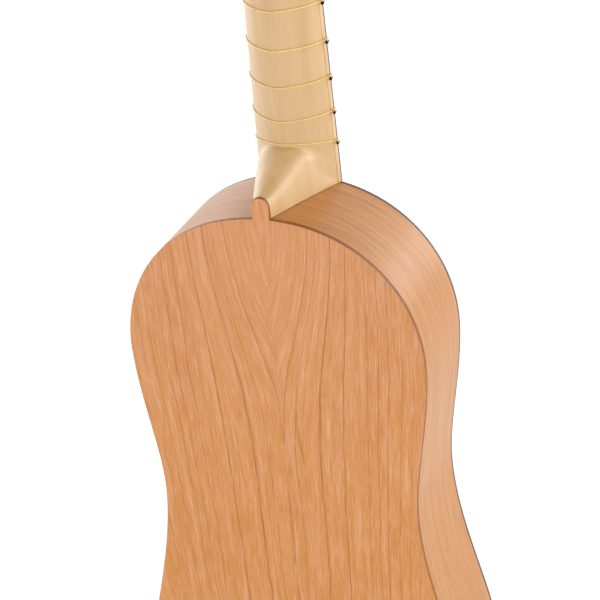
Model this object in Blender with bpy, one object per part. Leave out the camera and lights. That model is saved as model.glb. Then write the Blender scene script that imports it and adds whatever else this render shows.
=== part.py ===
# Renaissance guitar with four courses of gut strings, built as a luthier would take it apart.
# Upright: +Z runs up the neck and the back's outer face looks along -Y. The origin lies on that
# face, on the centreline, at the top edge of the body. The bass side is at +X. Units are metres.

import math

import bmesh
import bpy
from mathutils import Matrix, Vector

GAP = 0.0003

# Body outline: half widths, places down from the top edge, and how long each curve runs straight
BODY_LENGTH = 0.363
UPPER_BOUT_HALF = 0.0857
UPPER_BOUT_AT = 0.0828
WAIST_HALF = 0.0757
WAIST_AT = 0.1719
LOWER_BOUT_HALF = 0.0955
LOWER_BOUT_AT = 0.285
SHOULDER_REACH = 0.0544
UPPER_RISE = 0.0436
UPPER_FALL = 0.0303
WAIST_RISE = 0.0246
WAIST_FALL = 0.0447
LOWER_RISE = 0.0220
LOWER_FALL = 0.0440
TAIL_REACH = 0.0550
OUTLINE_STEPS = 10
LINING_STEPS = 8

# Body box
BODY_DEPTH = 0.0614
TAPER = math.radians(1.66)
BACK_THICKNESS = 0.0022
SOUNDBOARD_THICKNESS = 0.0018
RIB_THICKNESS = 0.0018
EDGING_WIDTH = 0.0015
LINING_WIDTH = 0.004
LINING_HEIGHT = 0.006
NECK_BLOCK_HALF = 0.028
NECK_BLOCK_LENGTH = 0.034
TAIL_BLOCK_HALF = 0.024
TAIL_BLOCK_LENGTH = 0.014
TAIL_STRIP_HALF = 0.003
BACK_BARS_AT = (0.064, 0.172, 0.282)
SOUNDBOARD_BARS_AT = (0.071, 0.166)
BAR_WIDTH = 0.006
BAR_HEIGHT = 0.012
BAR_END_HEIGHT = 0.003
BAR_SCOOP = 0.022

# Neck, heel and fingerboard
NECK_HALF_AT_BODY = 0.0238
NECK_HALF_AT_NUT = 0.0196
NECK_DEPTH_AT_BODY = 0.0225
NECK_DEPTH_AT_NUT = 0.0195
NECK_ROUNDNESS = 1.55
FINGERBOARD_THICKNESS = 0.0037
HEEL_CAP_HALF = 0.0050
HEEL_CAP_HEIGHT = 0.0126
HEEL_START = 0.0195
HEEL_SLANT = 0.28
HEEL_HOLLOW = 1.12
HEEL_NOSE = 0.009
HEEL_ROUNDNESS = 2.3
HEEL_NARROWING = 0.30
HEEL_COVE = 0.004
HEEL_COVE_REACH = 0.014

# Peghead and pegs
NUT_WIDTH = 0.0045
NUT_HEIGHT = 0.0024
HEAD_TILT = math.radians(7)
HEAD_DROP = 0.001
HEAD_THICKNESS = 0.010
HEAD_SQUARENESS = 9
HEAD_THROAT = 0.024
HEAD_HALF_LOW = 0.026
HEAD_HALF_HIGH = 0.0285
HEAD_SHOULDER_AT = 0.099
CROWN_AT = 0.117
CROWN_RADIUS = 0.0145
PEG_ROW_HALF = 0.0195
PEG_ROWS_AT = (0.027, 0.057, 0.087)
PEG_FRONT_RADIUS = 0.0031
PEG_BACK_RADIUS = 0.0037
PEG_REACH = 0.0125
PEG_COLLAR_RADIUS = 0.0054
PEG_COLLAR_LENGTH = 0.0026
PEG_COLLAR_BEAD = 0.0004
PEG_STEM = 0.0016
PEG_TIP_ROUNDING = 0.0008
PEG_THUMB_HALF = 0.0090
PEG_THUMB_THICKNESS = 0.0062
PEG_THUMB_LENGTH = 0.0150
PEG_HOLE_GAP = 0.0004
PEG_SIDES = 12

# Strings, from the treble side to the bass side
SCALE_LENGTH = 0.550
BRIDGE_AT = 0.2866
STRING_DIAMETERS = (0.00050, 0.00058, 0.00058, 0.00072, 0.00072, 0.00095, 0.00060)
COURSES = ((0,), (1, 2), (3, 4), (5, 6))
COURSE_SPACING_AT_NUT = 0.0100
COURSE_SPACING_AT_BRIDGE = 0.0148
PAIR_SPACING_AT_NUT = 0.0034
PAIR_SPACING_AT_BRIDGE = 0.0044
STRING_HEIGHT_AT_NUT = 0.0021
STRING_HEIGHT_AT_BRIDGE = 0.0052
STRING_ABOVE_HEAD = 0.0016
STRING_TAIL = 0.002
WINDING_TURNS = 4
WINDING_CLEARANCE = 0.00045
WINDING_POINTS = 8

# Frets
FRET_DIAMETER_AT_NUT = 0.0009
FRET_DIAMETER_AT_BODY = 0.00065
LAST_FRET_LEAN = 0.244  # it lies higher behind, where the heel starts
KNOT_RADIUS = 0.0010
KNOT_DEPTH = 0.0026
KNOT_TAIL = 0.0024

# Bridge
BRIDGE_BLOCK_HALF = 0.041
BRIDGE_WIDTH = 0.013
BRIDGE_HEIGHT = 0.0085
BRIDGE_BEVEL = 0.0016
BRIDGE_FOOT = 0.003
BRIDGE_WING = 0.022

# Rose
ROSE_AT = 0.118
ROSE_RADIUS = 0.031
ROSE_RING_WIDTH = 0.0028
ROSE_LEDGE = 0.0036
ROSE_THICKNESS = 0.0012
ROSE_FOLD = 12

NECK_TOP = FINGERBOARD_THICKNESS + GAP
BODY_OVERLAP = 0.010
NUT_AT = SCALE_LENGTH - BRIDGE_AT
NECK_END = NUT_AT + NUT_WIDTH

# The thumb of a peg: share of its length, then shares of its half width and of its half thickness
THUMB_SHAPE = (
    (0.12, 0.62, 0.90),
    (0.32, 0.95, 1.00),
    (0.55, 1.00, 0.90),
    (0.78, 0.82, 0.75),
    (0.93, 0.42, 0.55),
    (1.00, 0.16, 0.30),
)

# A wing of the bridge: share of its reach, then share of the bridge's half width
WING_SHAPE = (
    (0.00, 1.00),
    (0.12, 0.55),
    (0.40, 0.36),
    (0.70, 0.62),
    (1.00, 1.25),
    (0.94, 0.35),
    (0.72, -0.26),
    (0.45, -0.52),
    (0.15, -0.62),
    (0.00, -1.00),
)

# A fret's knot: share of its length, then share of its radius
KNOT_SHAPE = ((0.0, 0.4), (0.1, 0.8), (0.35, 1.0), (0.6, 0.8), (0.75, 0.45))

WOODS = {
    "cherry": ((0.52, 0.24, 0.13), 0.34),
    "maple": ((0.74, 0.60, 0.42), 0.38),
    "spruce": ((0.78, 0.60, 0.36), 0.48),
    "dark_wood": ((0.075, 0.042, 0.028), 0.40),
    "pearwood": ((0.56, 0.36, 0.22), 0.45),
    "boxwood": ((0.66, 0.47, 0.20), 0.36),
    "bone": ((0.86, 0.80, 0.66), 0.35),
    "gut": ((0.72, 0.50, 0.22), 0.42),
}


def clear_scene():
    for thing in list(bpy.data.objects):
        bpy.data.objects.remove(thing, do_unlink=True)


def collection(name, hidden=False):
    group = bpy.data.collections.new(name)
    group.hide_render = hidden
    bpy.context.scene.collection.children.link(group)
    return group


def material(slot):
    colour, roughness = WOODS[slot]
    finish = bpy.data.materials.get(slot) or bpy.data.materials.new(slot)
    finish.use_nodes = True
    shader = finish.node_tree.nodes["Principled BSDF"]
    shader.inputs["Base Color"].default_value = (*colour, 1)
    shader.inputs["Roughness"].default_value = roughness
    shader.inputs["Metallic"].default_value = 0
    return finish


def placed(name, data, slot, frame):
    thing = bpy.data.objects.new(name, data)
    data.materials.append(material(slot))
    parts.objects.link(thing)
    thing.parent = frame
    return thing


def empty_frame(name, place, tilt, parent=None):
    frame = bpy.data.objects.new(name, None)
    parts.objects.link(frame)
    frame.parent = parent
    frame.location = place
    frame.rotation_euler.x = tilt
    return frame


def smooth(thing, angle=math.radians(35)):
    thing.data.shade_smooth()
    thing.data.set_sharp_from_angle(angle=angle)
    return thing


# Shapes


def eased(t):
    """A smooth rise from 0 to 1."""
    t = min(max(t, 0), 1)
    return t * t * (3 - 2 * t)


def plate(name, loops, thickness, slot, frame, level):
    """A flat piece across the frame's Y axis, with closed outlines of (x, z) and holes among them."""
    curve = bpy.data.curves.new(name, "CURVE")
    curve.dimensions = "2D"
    curve.fill_mode = "BOTH"
    curve.extrude = thickness / 2
    for loop in loops:
        spline = curve.splines.new("POLY")
        spline.points.add(len(loop) - 1)
        for point, (x, z) in zip(spline.points, loop):
            point.co = (x, z, 0, 1)
        spline.use_cyclic_u = True
    thing = placed(name, curve, slot, frame)
    thing.rotation_euler.x = math.pi / 2
    thing.location.y = level
    return thing


def loft(name, rings, slot, frame):
    """One closed skin through rings of equally many points, with a flat cap at either end."""
    mesh = bmesh.new()
    rows = [[mesh.verts.new(point) for point in ring] for ring in rings]
    count = len(rings[0])
    for low, high in zip(rows, rows[1:]):
        for i in range(count):
            j = (i + 1) % count
            mesh.faces.new((low[i], low[j], high[j], high[i]))
    mesh.faces.new(rows[0][::-1])
    mesh.faces.new(rows[-1])
    bmesh.ops.remove_doubles(mesh, verts=mesh.verts, dist=1e-6)
    bmesh.ops.recalc_face_normals(mesh, faces=mesh.faces)
    data = bpy.data.meshes.new(name)
    mesh.to_mesh(data)
    mesh.free()
    return smooth(placed(name, data, slot, frame))


def tube(name, points, radius, slot, frame, closed=False, resolution=1):
    curve = bpy.data.curves.new(name, "CURVE")
    curve.dimensions = "3D"
    curve.bevel_depth = radius
    curve.bevel_resolution = resolution
    curve.use_fill_caps = not closed
    spline = curve.splines.new("POLY")
    spline.points.add(len(points) - 1)
    for point, place in zip(spline.points, points):
        point.co = (*place, 1)
    spline.use_cyclic_u = closed
    return placed(name, curve, slot, frame)


def as_mesh(thing):
    """The same piece with its curve turned into a welded mesh, ready for a Boolean."""
    bpy.context.view_layer.update()
    seen = thing.evaluated_get(bpy.context.evaluated_depsgraph_get())
    data = bpy.data.meshes.new_from_object(seen)
    mesh = bmesh.new()
    mesh.from_mesh(data)
    bmesh.ops.remove_doubles(mesh, verts=mesh.verts, dist=1e-6)
    mesh.to_mesh(data)
    mesh.free()
    name, matrix = thing.name, thing.matrix_world.copy()
    bpy.data.objects.remove(thing, do_unlink=True)
    solid = bpy.data.objects.new(name, data)
    parts.objects.link(solid)
    solid.matrix_world = matrix
    return smooth(solid)


def cylinders(name, rods, slot, frame, sides=12):
    """Loose rods in one mesh, each from one end to the other with its own radius."""
    mesh = bmesh.new()
    for start, end, radius in rods:
        start, end = Vector(start), Vector(end)
        turn = (end - start).to_track_quat("Z", "Y").to_matrix().to_4x4()
        bmesh.ops.create_cone(
            mesh,
            cap_ends=True,
            segments=sides,
            radius1=radius,
            radius2=radius,
            depth=(end - start).length,
            matrix=Matrix.Translation((start + end) / 2) @ turn,
        )
    data = bpy.data.meshes.new(name)
    mesh.to_mesh(data)
    mesh.free()
    return placed(name, data, slot, frame)


def boolean(thing, tool, operation):
    """Cuts or joins by another solid, which then leaves the model."""
    parts.objects.unlink(tool)
    tools.objects.link(tool)
    tool.hide_render = True
    tool.display_type = "WIRE"
    step = thing.modifiers.new(tool.name, "BOOLEAN")
    step.operation = operation
    step.object = tool
    return thing


# Body outline


def outline_curves():
    joint = Vector((0, 0))
    upper = Vector((UPPER_BOUT_HALF, -UPPER_BOUT_AT))
    waist = Vector((WAIST_HALF, -WAIST_AT))
    lower = Vector((LOWER_BOUT_HALF, -LOWER_BOUT_AT))
    tail = Vector((0, -BODY_LENGTH))
    return (
        (joint, Vector((SHOULDER_REACH, 0)), upper + Vector((0, UPPER_RISE)), upper),
        (upper, upper - Vector((0, UPPER_FALL)), waist + Vector((0, WAIST_RISE)), waist),
        (waist, waist - Vector((0, WAIST_FALL)), lower + Vector((0, LOWER_RISE)), lower),
        (lower, lower - Vector((0, LOWER_FALL)), tail + Vector((TAIL_REACH, 0)), tail),
    )


def outline_point(u, inset=0.0):
    """The bass side's outline at u, from 0 at the neck to 4 at the tail, moved inwards by inset."""
    k = min(int(u), 3)
    a, b, c, d = outline_curves()[k]
    t = u - k
    s = 1 - t
    place = s**3 * a + 3 * s * s * t * b + 3 * s * t * t * c + t**3 * d
    slope = s * s * (b - a) + 2 * s * t * (c - b) + t * t * (d - c)
    inward = Vector((slope.y, -slope.x)).normalized()
    return place + inset * inward


def bisect(passed, low, high):
    """Where a test of u turns from false to true."""
    for _ in range(40):
        middle = (low + high) / 2
        if passed(middle):
            high = middle
        else:
            low = middle
    return high


def outline_run(start, end, inset=0.0, steps=OUTLINE_STEPS):
    count = max(2, round((end - start) * steps))
    return [outline_point(start + (end - start) * i / count, inset) for i in range(count + 1)]


def both_sides(half):
    """A closed loop from the bass half, whose ends may lie on the centreline."""
    mirrored = [Vector((-p.x, p.y)) for p in reversed(half) if p.x > 1e-6]
    return list(half) + mirrored


def half_width_at(down, inset):
    u = bisect(lambda v: outline_point(v, inset).y < -down, 0, 4)
    return outline_point(u, inset).x


def front_inner(z):
    """Y of the soundboard's inner face at a height on the body."""
    return BODY_DEPTH - math.tan(TAPER) * z - SOUNDBOARD_THICKNESS / math.cos(TAPER)


def laid_on_front(points):
    return [(p.x, p.y / math.cos(TAPER)) for p in points]


# Body


def make_back():
    edge = bisect(lambda u: outline_point(u).x > HEEL_CAP_HALF, 0, 1)
    centre = HEEL_CAP_HEIGHT - HEEL_CAP_HALF
    angles = [math.radians(90 - 15 * i) for i in range(7)]
    button = [
        Vector((HEEL_CAP_HALF * math.cos(a), centre + HEEL_CAP_HALF * math.sin(a))) for a in angles
    ]
    loop = both_sides(button + outline_run(edge, 4))
    plate("back", [loop], BACK_THICKNESS, "cherry", None, BACK_THICKNESS / 2)


def make_soundboard():
    level = -SOUNDBOARD_THICKNESS / 2
    whole = laid_on_front(both_sides(outline_run(0, 4)))
    inner = laid_on_front(both_sides(outline_run(0, 4, EDGING_WIDTH)))
    board = laid_on_front(both_sides(outline_run(0, 4, EDGING_WIDTH + GAP)))
    hole = circle(ROSE_RADIUS + ROSE_RING_WIDTH + GAP, 36, (0, -ROSE_AT))
    plate("soundboard_edging", [whole, inner], SOUNDBOARD_THICKNESS, "dark_wood", front, level)
    plate("soundboard", [board, hole], SOUNDBOARD_THICKNESS, "spruce", front, level)


def wall(name, run, insets, levels, slot, side, steps=OUTLINE_STEPS):
    """A strip that follows the outline between two insets and two levels above the back."""
    low, high = levels
    outer, inner = [outline_run(*run, inset, steps) for inset in insets]
    rings = []
    for p, q in zip(outer, inner):
        rings.append(
            (
                (side * p.x, low(p.y), p.y),
                (side * p.x, high(p.y), p.y),
                (side * q.x, high(q.y), q.y),
                (side * q.x, low(q.y), q.y),
            )
        )
    loft(name, rings, slot, None)


def make_ribs():
    start = bisect(lambda u: outline_point(u, RIB_THICKNESS).x > GAP / 2, 0, 1)
    reach = TAIL_STRIP_HALF + GAP
    end = bisect(lambda u: outline_point(u, RIB_THICKNESS).x < reach, 3, 4)
    seats = (back_seat, front_seat)
    for name, side in (("rib_treble", -1), ("rib_bass", 1)):
        wall(name, (start, end), (0, RIB_THICKNESS), seats, "cherry", side)
    tail = outline_point(4).y
    strip = [
        Vector((-TAIL_STRIP_HALF, tail + GAP)),
        Vector((TAIL_STRIP_HALF, tail + GAP)),
        Vector((TAIL_STRIP_HALF, tail + RIB_THICKNESS)),
        Vector((-TAIL_STRIP_HALF, tail + RIB_THICKNESS)),
    ]
    filler("tail_strip", strip, "dark_wood")


def back_seat(z):
    return BACK_THICKNESS + GAP


def front_seat(z):
    return front_inner(z) - GAP


def filler(name, loop, slot):
    """A block that fills the space between the back and the soundboard over a loop of (x, z)."""
    rings = [[(p.x, seat(p.y), p.y) for p in loop] for seat in (back_seat, front_seat)]
    return loft(name, rings, slot, None)


def make_blocks():
    inset = RIB_THICKNESS + GAP
    top = bisect(lambda u: outline_point(u, inset).x > NECK_BLOCK_HALF, 0, 1)
    half = outline_run(0, top, inset) + [Vector((NECK_BLOCK_HALF, -NECK_BLOCK_LENGTH))]
    filler("neck_block", both_sides(half), "spruce")
    low = bisect(lambda u: outline_point(u, inset).x < TAIL_BLOCK_HALF, 3, 4)
    half = [Vector((TAIL_BLOCK_HALF, TAIL_BLOCK_LENGTH - BODY_LENGTH))]
    half += outline_run(low, 4, inset)
    filler("tail_block", both_sides(half), "spruce")


def make_linings():
    outer = RIB_THICKNESS + GAP
    inner = outer + LINING_WIDTH
    start = bisect(lambda u: outline_point(u, inner).x > NECK_BLOCK_HALF + GAP, 0, 1)
    end = bisect(lambda u: outline_point(u, inner).x < TAIL_BLOCK_HALF + GAP, 3, 4)
    levels = {
        "back_lining": (back_seat, lambda z: back_seat(z) + LINING_HEIGHT),
        "front_lining": (lambda z: front_seat(z) - LINING_HEIGHT, front_seat),
    }
    for kind, heights in levels.items():
        for word, side in (("treble", -1), ("bass", 1)):
            name = f"{kind}_{word}"
            wall(name, (start, end), (outer, inner), heights, "spruce", side, LINING_STEPS)


def bar(name, frame, at, seat, rise):
    """A cross bar with scooped ends, standing on seat and rising in the given direction."""
    inset = RIB_THICKNESS + LINING_WIDTH + 2 * GAP
    ends = [half_width_at(at + side * BAR_WIDTH / 2, inset) for side in (-1, 1)]
    half = min(ends)
    steps = 4
    profile = [(half, 0.0), (half, BAR_END_HEIGHT)]
    for i in range(1, steps + 1):
        t = i / steps
        lift = BAR_END_HEIGHT + (BAR_HEIGHT - BAR_END_HEIGHT) * eased(t)
        profile.append((half - BAR_SCOOP * t, lift))
    loop = profile + [(-x, y) for x, y in reversed(profile)]
    rings = [
        [(x, seat + rise * y, -at + side * BAR_WIDTH / 2) for x, y in loop] for side in (-1, 1)
    ]
    loft(name, rings, "spruce", frame)


def make_bars():
    for name, at in zip(("upper", "middle", "lower"), BACK_BARS_AT):
        bar(f"back_bar_{name}", None, at, BACK_THICKNESS + GAP, 1)
    for name, at in zip(("upper", "lower"), SOUNDBOARD_BARS_AT):
        bar(f"soundboard_bar_{name}", front, at, -SOUNDBOARD_THICKNESS - GAP, -1)


# Rose


def circle(radius, count, centre=(0, 0), start=0.0):
    turns = [start + 2 * math.pi * i / count for i in range(count)]
    return [(centre[0] + radius * math.cos(a), centre[1] + radius * math.sin(a)) for a in turns]


def leaf(inner, outer, half_width, angle, steps=4):
    """A pointed leaf that lies along a spoke of the rose, between two radii."""
    side = []
    for i in range(steps + 1):
        t = i / steps
        side.append((inner + (outer - inner) * t, half_width * math.sin(math.pi * t)))
    loop = side + [(x, -y) for x, y in side[-2:0:-1]]
    c, s = math.cos(angle), math.sin(angle)
    return [(x * c - y * s, x * s + y * c - ROSE_AT) for x, y in loop]


def make_rose():
    edge = ROSE_RADIUS + ROSE_RING_WIDTH + ROSE_LEDGE
    centre = (0, -ROSE_AT)
    loops = [circle(edge, 36, centre)]
    for i in range(ROSE_FOLD // 2):
        loops.append(leaf(0.07 * ROSE_RADIUS, 0.34 * ROSE_RADIUS, 0.07 * ROSE_RADIUS, i * math.pi / 3))
    for i in range(ROSE_FOLD):
        turn = 2 * math.pi * i / ROSE_FOLD
        between = turn + math.pi / ROSE_FOLD
        bead = 0.44 * ROSE_RADIUS
        place = (bead * math.cos(turn), bead * math.sin(turn) - ROSE_AT)
        loops.append(circle(0.07 * ROSE_RADIUS, 8, place))
        loops.append(leaf(0.50 * ROSE_RADIUS, 0.83 * ROSE_RADIUS, 0.075 * ROSE_RADIUS, between))
        for rim in (turn - math.pi / ROSE_FOLD / 2.2, turn + math.pi / ROSE_FOLD / 2.2):
            rim_radius = 0.90 * ROSE_RADIUS
            place = (rim_radius * math.cos(rim), rim_radius * math.sin(rim) - ROSE_AT)
            loops.append(circle(0.045 * ROSE_RADIUS, 6, place))
        loops.append(leaf(0.56 * ROSE_RADIUS, 0.78 * ROSE_RADIUS, 0.04 * ROSE_RADIUS, turn, 3))
    level = -SOUNDBOARD_THICKNESS - GAP - ROSE_THICKNESS / 2
    plate("rose", loops, ROSE_THICKNESS, "pearwood", front, level)
    ring = [circle(ROSE_RADIUS + ROSE_RING_WIDTH, 36, centre), circle(ROSE_RADIUS, 36, centre)]
    level = -SOUNDBOARD_THICKNESS / 2
    plate("rose_ring", ring, SOUNDBOARD_THICKNESS, "dark_wood", front, level)


# Neck


def along_neck(z, at_body, at_nut):
    return at_body + (at_nut - at_body) * z / NUT_AT


def neck_half(z):
    return along_neck(z, NECK_HALF_AT_BODY, NECK_HALF_AT_NUT)


def neck_depth(z):
    return along_neck(z, NECK_DEPTH_AT_BODY, NECK_DEPTH_AT_NUT)


def shaft_half(s, z):
    """Half width of the rounded neck at depth s below the fingerboard's face."""
    share = min(s / neck_depth(z), 1)
    return neck_half(z) * (1 - share**NECK_ROUNDNESS) ** (1 / NECK_ROUNDNESS)


def heel_floor(z):
    """Depth of the heel's cap, which lies along the inside of the back's button."""
    return (BODY_DEPTH - BACK_THICKNESS - GAP - z * math.sin(TAPER)) / math.cos(TAPER)


def heel_ridge(s):
    """Height of the heel's ridge at depth s: it starts higher behind than at the fingerboard."""
    start = neck_depth(HEEL_START)
    if s < start:
        return HEEL_START + HEEL_SLANT * s
    high = HEEL_START + HEEL_SLANT * start
    t = min((s - start) / (heel_floor(0) - start), 1)
    return HEEL_CAP_HEIGHT + (high - HEEL_CAP_HEIGHT) * (1 - t) ** HEEL_HOLLOW


def outside(x, half, y, height, roundness):
    """How far a point lies outside a superellipse, roughly in metres."""
    size = max(((x / half) ** roundness + (y / height) ** roundness) ** (1 / roundness), 1e-3)
    across = x ** (roundness - 1) / half**roundness
    along = y ** (roundness - 1) / height**roundness
    return (size - 1) / max(math.hypot(across, along) * size ** (1 - roundness), 1)


def outside_heel(x, s, z):
    """The same for the heel, whose flanks run from the fingerboard to the button."""
    t = min(max((s - NECK_TOP) / (heel_floor(0) - NECK_TOP), 0), 1)
    edge = shaft_half(NECK_TOP, 0)
    narrowing = HEEL_NARROWING * (1 - t) * min(z / heel_ridge(s), 1)
    flank = (edge + (HEEL_CAP_HALF - edge) * t) * (1 - narrowing)
    nose = HEEL_NOSE + (HEEL_CAP_HALF - HEEL_NOSE) * t
    roundness = HEEL_ROUNDNESS + (2 - HEEL_ROUNDNESS) * t
    return outside(x, flank, max(z - heel_ridge(s) + nose, 0), nose, roundness)


def outside_neck(x, s, z):
    """The neck and its heel at once, with a cove where the heel's flanks leave the shaft."""
    shaft = outside(x, neck_half(z), s, neck_depth(z), NECK_ROUNDNESS)
    heel = outside_heel(x, s, z)
    cove = HEEL_COVE * eased(x / HEEL_COVE_REACH) * eased(z / HEEL_COVE_REACH)
    if cove == 0:
        return min(shaft, heel)
    shared = max(cove - abs(shaft - heel), 0) / cove
    return min(shaft, heel) - shared**2 * cove / 4


def neck_levels():
    """Heights at which the neck is drawn, with its depth and its half width down there."""
    centre = HEEL_CAP_HEIGHT - HEEL_CAP_HALF
    low = (-BODY_OVERLAP, 0.0, centre / 8, centre / 3, 2 * centre / 3)
    levels = [(z, heel_floor(z), HEEL_CAP_HALF) for z in low]
    for i in range(6):
        a = math.radians(16 * i)
        z = centre + HEEL_CAP_HALF * math.sin(a)
        levels.append((z, heel_floor(z), HEEL_CAP_HALF * math.cos(a)))
    start = neck_depth(HEEL_START)
    for i in range(9, -1, -1):
        s = start + (heel_floor(0) - start) * i / 10
        levels.append((heel_ridge(s), s, 0.0))
    for i in range(1, 6):
        z = heel_ridge(start) + (NECK_END - heel_ridge(start)) * (i / 5) ** 2
        levels.append((z, neck_depth(z), 0.0))
    return levels


def body_space():
    """A cutter a gap larger than the body's outline, for what butts against the ribs."""
    loop = both_sides(outline_run(0, 4, -GAP))
    return as_mesh(plate("body_space", [loop], 2 * BODY_DEPTH, "maple", None, BODY_DEPTH / 2))


def make_neck():
    steps = 12
    rings = []
    for z, deepest, foot in neck_levels():
        end = math.atan2(deepest - NECK_TOP, foot)
        side = []
        for k in range(steps):
            a = end * k / steps
            c, d = math.cos(a), math.sin(a)
            reach = bisect(
                lambda r: outside_neck(r * c, NECK_TOP + r * d, max(z, 0)) > 0, 0, 1.1 * deepest
            )
            side.append((reach * c, -NECK_TOP - reach * d, z))
        side.append((foot, -deepest, z))
        rings.append(side + [(-x, y, z) for x, y, z in reversed(side)])
    boolean(loft("neck", rings, "maple", front), body_space(), "DIFFERENCE")


def make_fingerboard():
    """Its sides carry on the neck's rounding, and its lower end fits the body's edge."""
    steps = 3
    rings = []
    for z in (-BODY_OVERLAP, NUT_AT - GAP):
        depths = [FINGERBOARD_THICKNESS * k / steps for k in range(steps + 1)]
        side = [(shaft_half(s, z), -s, z) for s in depths]
        rings.append(side + [(-x, y, z) for x, y, z in reversed(side)])
    boolean(loft("fingerboard", rings, "dark_wood", front), body_space(), "DIFFERENCE")


def string_places(course_spacing, pair_spacing):
    """X of each string where the courses lie evenly about the centreline."""
    places = []
    for row, course in enumerate(COURSES):
        centre = (row - (len(COURSES) - 1) / 2) * course_spacing
        for k in range(len(course)):
            places.append(centre + (k - (len(course) - 1) / 2) * pair_spacing)
    return places


def make_nut():
    foot = -FINGERBOARD_THICKNESS
    half = shaft_half(FINGERBOARD_THICKNESS, NECK_END)
    face = neck_half(NECK_END)
    corners = ((-half, foot), (half, foot), (face, NUT_HEIGHT), (-face, NUT_HEIGHT))
    rings = [[(x, y, z) for x, y in corners] for z in (NUT_AT, NECK_END)]
    nut = loft("nut", rings, "bone", front)
    rods = []
    for x, diameter in zip(nut_places, STRING_DIAMETERS):
        ends = [(x, STRING_HEIGHT_AT_NUT, z) for z in (NUT_AT - NUT_WIDTH, NECK_END + NUT_WIDTH)]
        rods.append((*ends, diameter / 2 + GAP))
    boolean(nut, cylinders("nut_grooves", rods, "bone", front), "DIFFERENCE")


# Frets


def fret_height(number):
    return SCALE_LENGTH * 2 ** (-number / 12) - BRIDGE_AT


def fret_loop(z, clear, lean):
    """A loop around the neck and the fingerboard that keeps clear of both."""
    half, depth = neck_half(z), neck_depth(z)
    loop = []
    for degrees in (90, 45):
        turn = math.radians(degrees)
        loop.append((half + clear * math.cos(turn), clear * math.sin(turn)))
    steps = 14
    power = 2 / NECK_ROUNDNESS
    for k in range(steps + 1):
        a = math.pi * k / steps
        c, s = math.cos(a), math.sin(a)
        x = math.copysign(half * abs(c) ** power, c)
        y = -depth * s**power
        slope = Vector((x / half**2, y / depth**2)).normalized()
        loop.append((x + clear * slope.x, y + clear * slope.y))
    loop += [(-x, y) for x, y in reversed(loop[:2])]
    return [(x, y, z - lean * y) for x, y in loop]


def make_frets():
    """One fret a semitone, down to the last that stands above the heel."""
    count = 1
    while fret_height(count + 1) > HEEL_START:
        count += 1
    for number in range(1, count + 1):
        share = (number - 1) / max(count - 1, 1)
        diameter = FRET_DIAMETER_AT_NUT + (FRET_DIAMETER_AT_BODY - FRET_DIAMETER_AT_NUT) * share
        z = fret_height(number)
        lean = LAST_FRET_LEAN if number == count else 0
        loop = fret_loop(z, GAP + diameter / 2, lean)
        fret = as_mesh(tube(f"fret_{number}", loop, diameter / 2, "gut", front, closed=True))
        boolean(fret, make_knot(number, z + lean * KNOT_DEPTH, diameter / 2), "UNION")


def make_knot(number, z, radius):
    """The knot on the bass side, with its burnt end standing out towards the body."""
    length = 2 * KNOT_RADIUS
    rings = [(share * length, wide * KNOT_RADIUS) for share, wide in KNOT_SHAPE]
    rings += [(length, radius), (length + KNOT_TAIL, radius)]
    loops = [[(x, y, h) for x, y in circle(wide, 6)] for h, wide in rings]
    knot = loft(f"knot_{number}", loops, "gut", front)
    clear = GAP + KNOT_RADIUS
    knot.location = (shaft_half(KNOT_DEPTH, z) + clear, -KNOT_DEPTH, z + KNOT_RADIUS)
    knot.rotation_euler = (math.radians(180), math.radians(-12), 0)
    return knot


# Bridge


def make_bridge():
    """A block that the strings are tied to, on a foot that runs out into a wing on either side."""
    half = BRIDGE_WIDTH / 2
    centre = -BRIDGE_AT - half
    side = [(BRIDGE_BLOCK_HALF + BRIDGE_WING * x, centre + half * y) for x, y in WING_SHAPE]
    loop = side + [(-x, z) for x, z in reversed(side)]
    foot = plate("bridge", [loop], BRIDGE_FOOT, "pearwood", front, GAP + BRIDGE_FOOT / 2)
    bridge = as_mesh(foot)
    shoulder = BRIDGE_HEIGHT - BRIDGE_BEVEL
    profile = [(half, 0.0), (half, shoulder), (half - BRIDGE_BEVEL, BRIDGE_HEIGHT)]
    profile += [(-z, y) for z, y in reversed(profile)]
    rings = []
    for x in (-BRIDGE_BLOCK_HALF, BRIDGE_BLOCK_HALF):
        rings.append([(x, GAP + y, centre + z) for z, y in profile])
    boolean(bridge, loft("bridge_block", rings, "pearwood", front), "UNION")
    rods = []
    for x, diameter in zip(bridge_places, STRING_DIAMETERS):
        ends = [(x, STRING_HEIGHT_AT_BRIDGE, centre + side * BRIDGE_WIDTH) for side in (-1, 1)]
        rods.append((*ends, diameter / 2 + GAP))
    boolean(bridge, cylinders("bridge_holes", rods, "pearwood", front, 8), "DIFFERENCE")


# Peghead


def head_half(v):
    """Half width of the peghead at a distance up its face, with an ogee below the crown."""
    if v < HEAD_SHOULDER_AT:
        low = neck_half(NECK_END)
        throat = low + (HEAD_HALF_LOW - low) * eased(v / HEAD_THROAT)
        flare = (v - HEAD_THROAT) / (HEAD_SHOULDER_AT - HEAD_THROAT)
        return throat + (HEAD_HALF_HIGH - HEAD_HALF_LOW) * max(flare, 0)
    if v < CROWN_AT:
        t = (v - HEAD_SHOULDER_AT) / (CROWN_AT - HEAD_SHOULDER_AT)
        return HEAD_HALF_HIGH + (CROWN_RADIUS - HEAD_HALF_HIGH) * eased(t)
    return math.sqrt(max(0, CROWN_RADIUS**2 - (v - CROWN_AT) ** 2))


def head_levels():
    ogee, crown = 8, 7
    levels = [HEAD_THROAT * i / 6 for i in range(7)]
    levels += [
        HEAD_SHOULDER_AT + (CROWN_AT - HEAD_SHOULDER_AT) * i / ogee for i in range(ogee)
    ]
    levels += [CROWN_AT + CROWN_RADIUS * math.sin(math.radians(12 * i)) for i in range(crown + 1)]
    return levels


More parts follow.
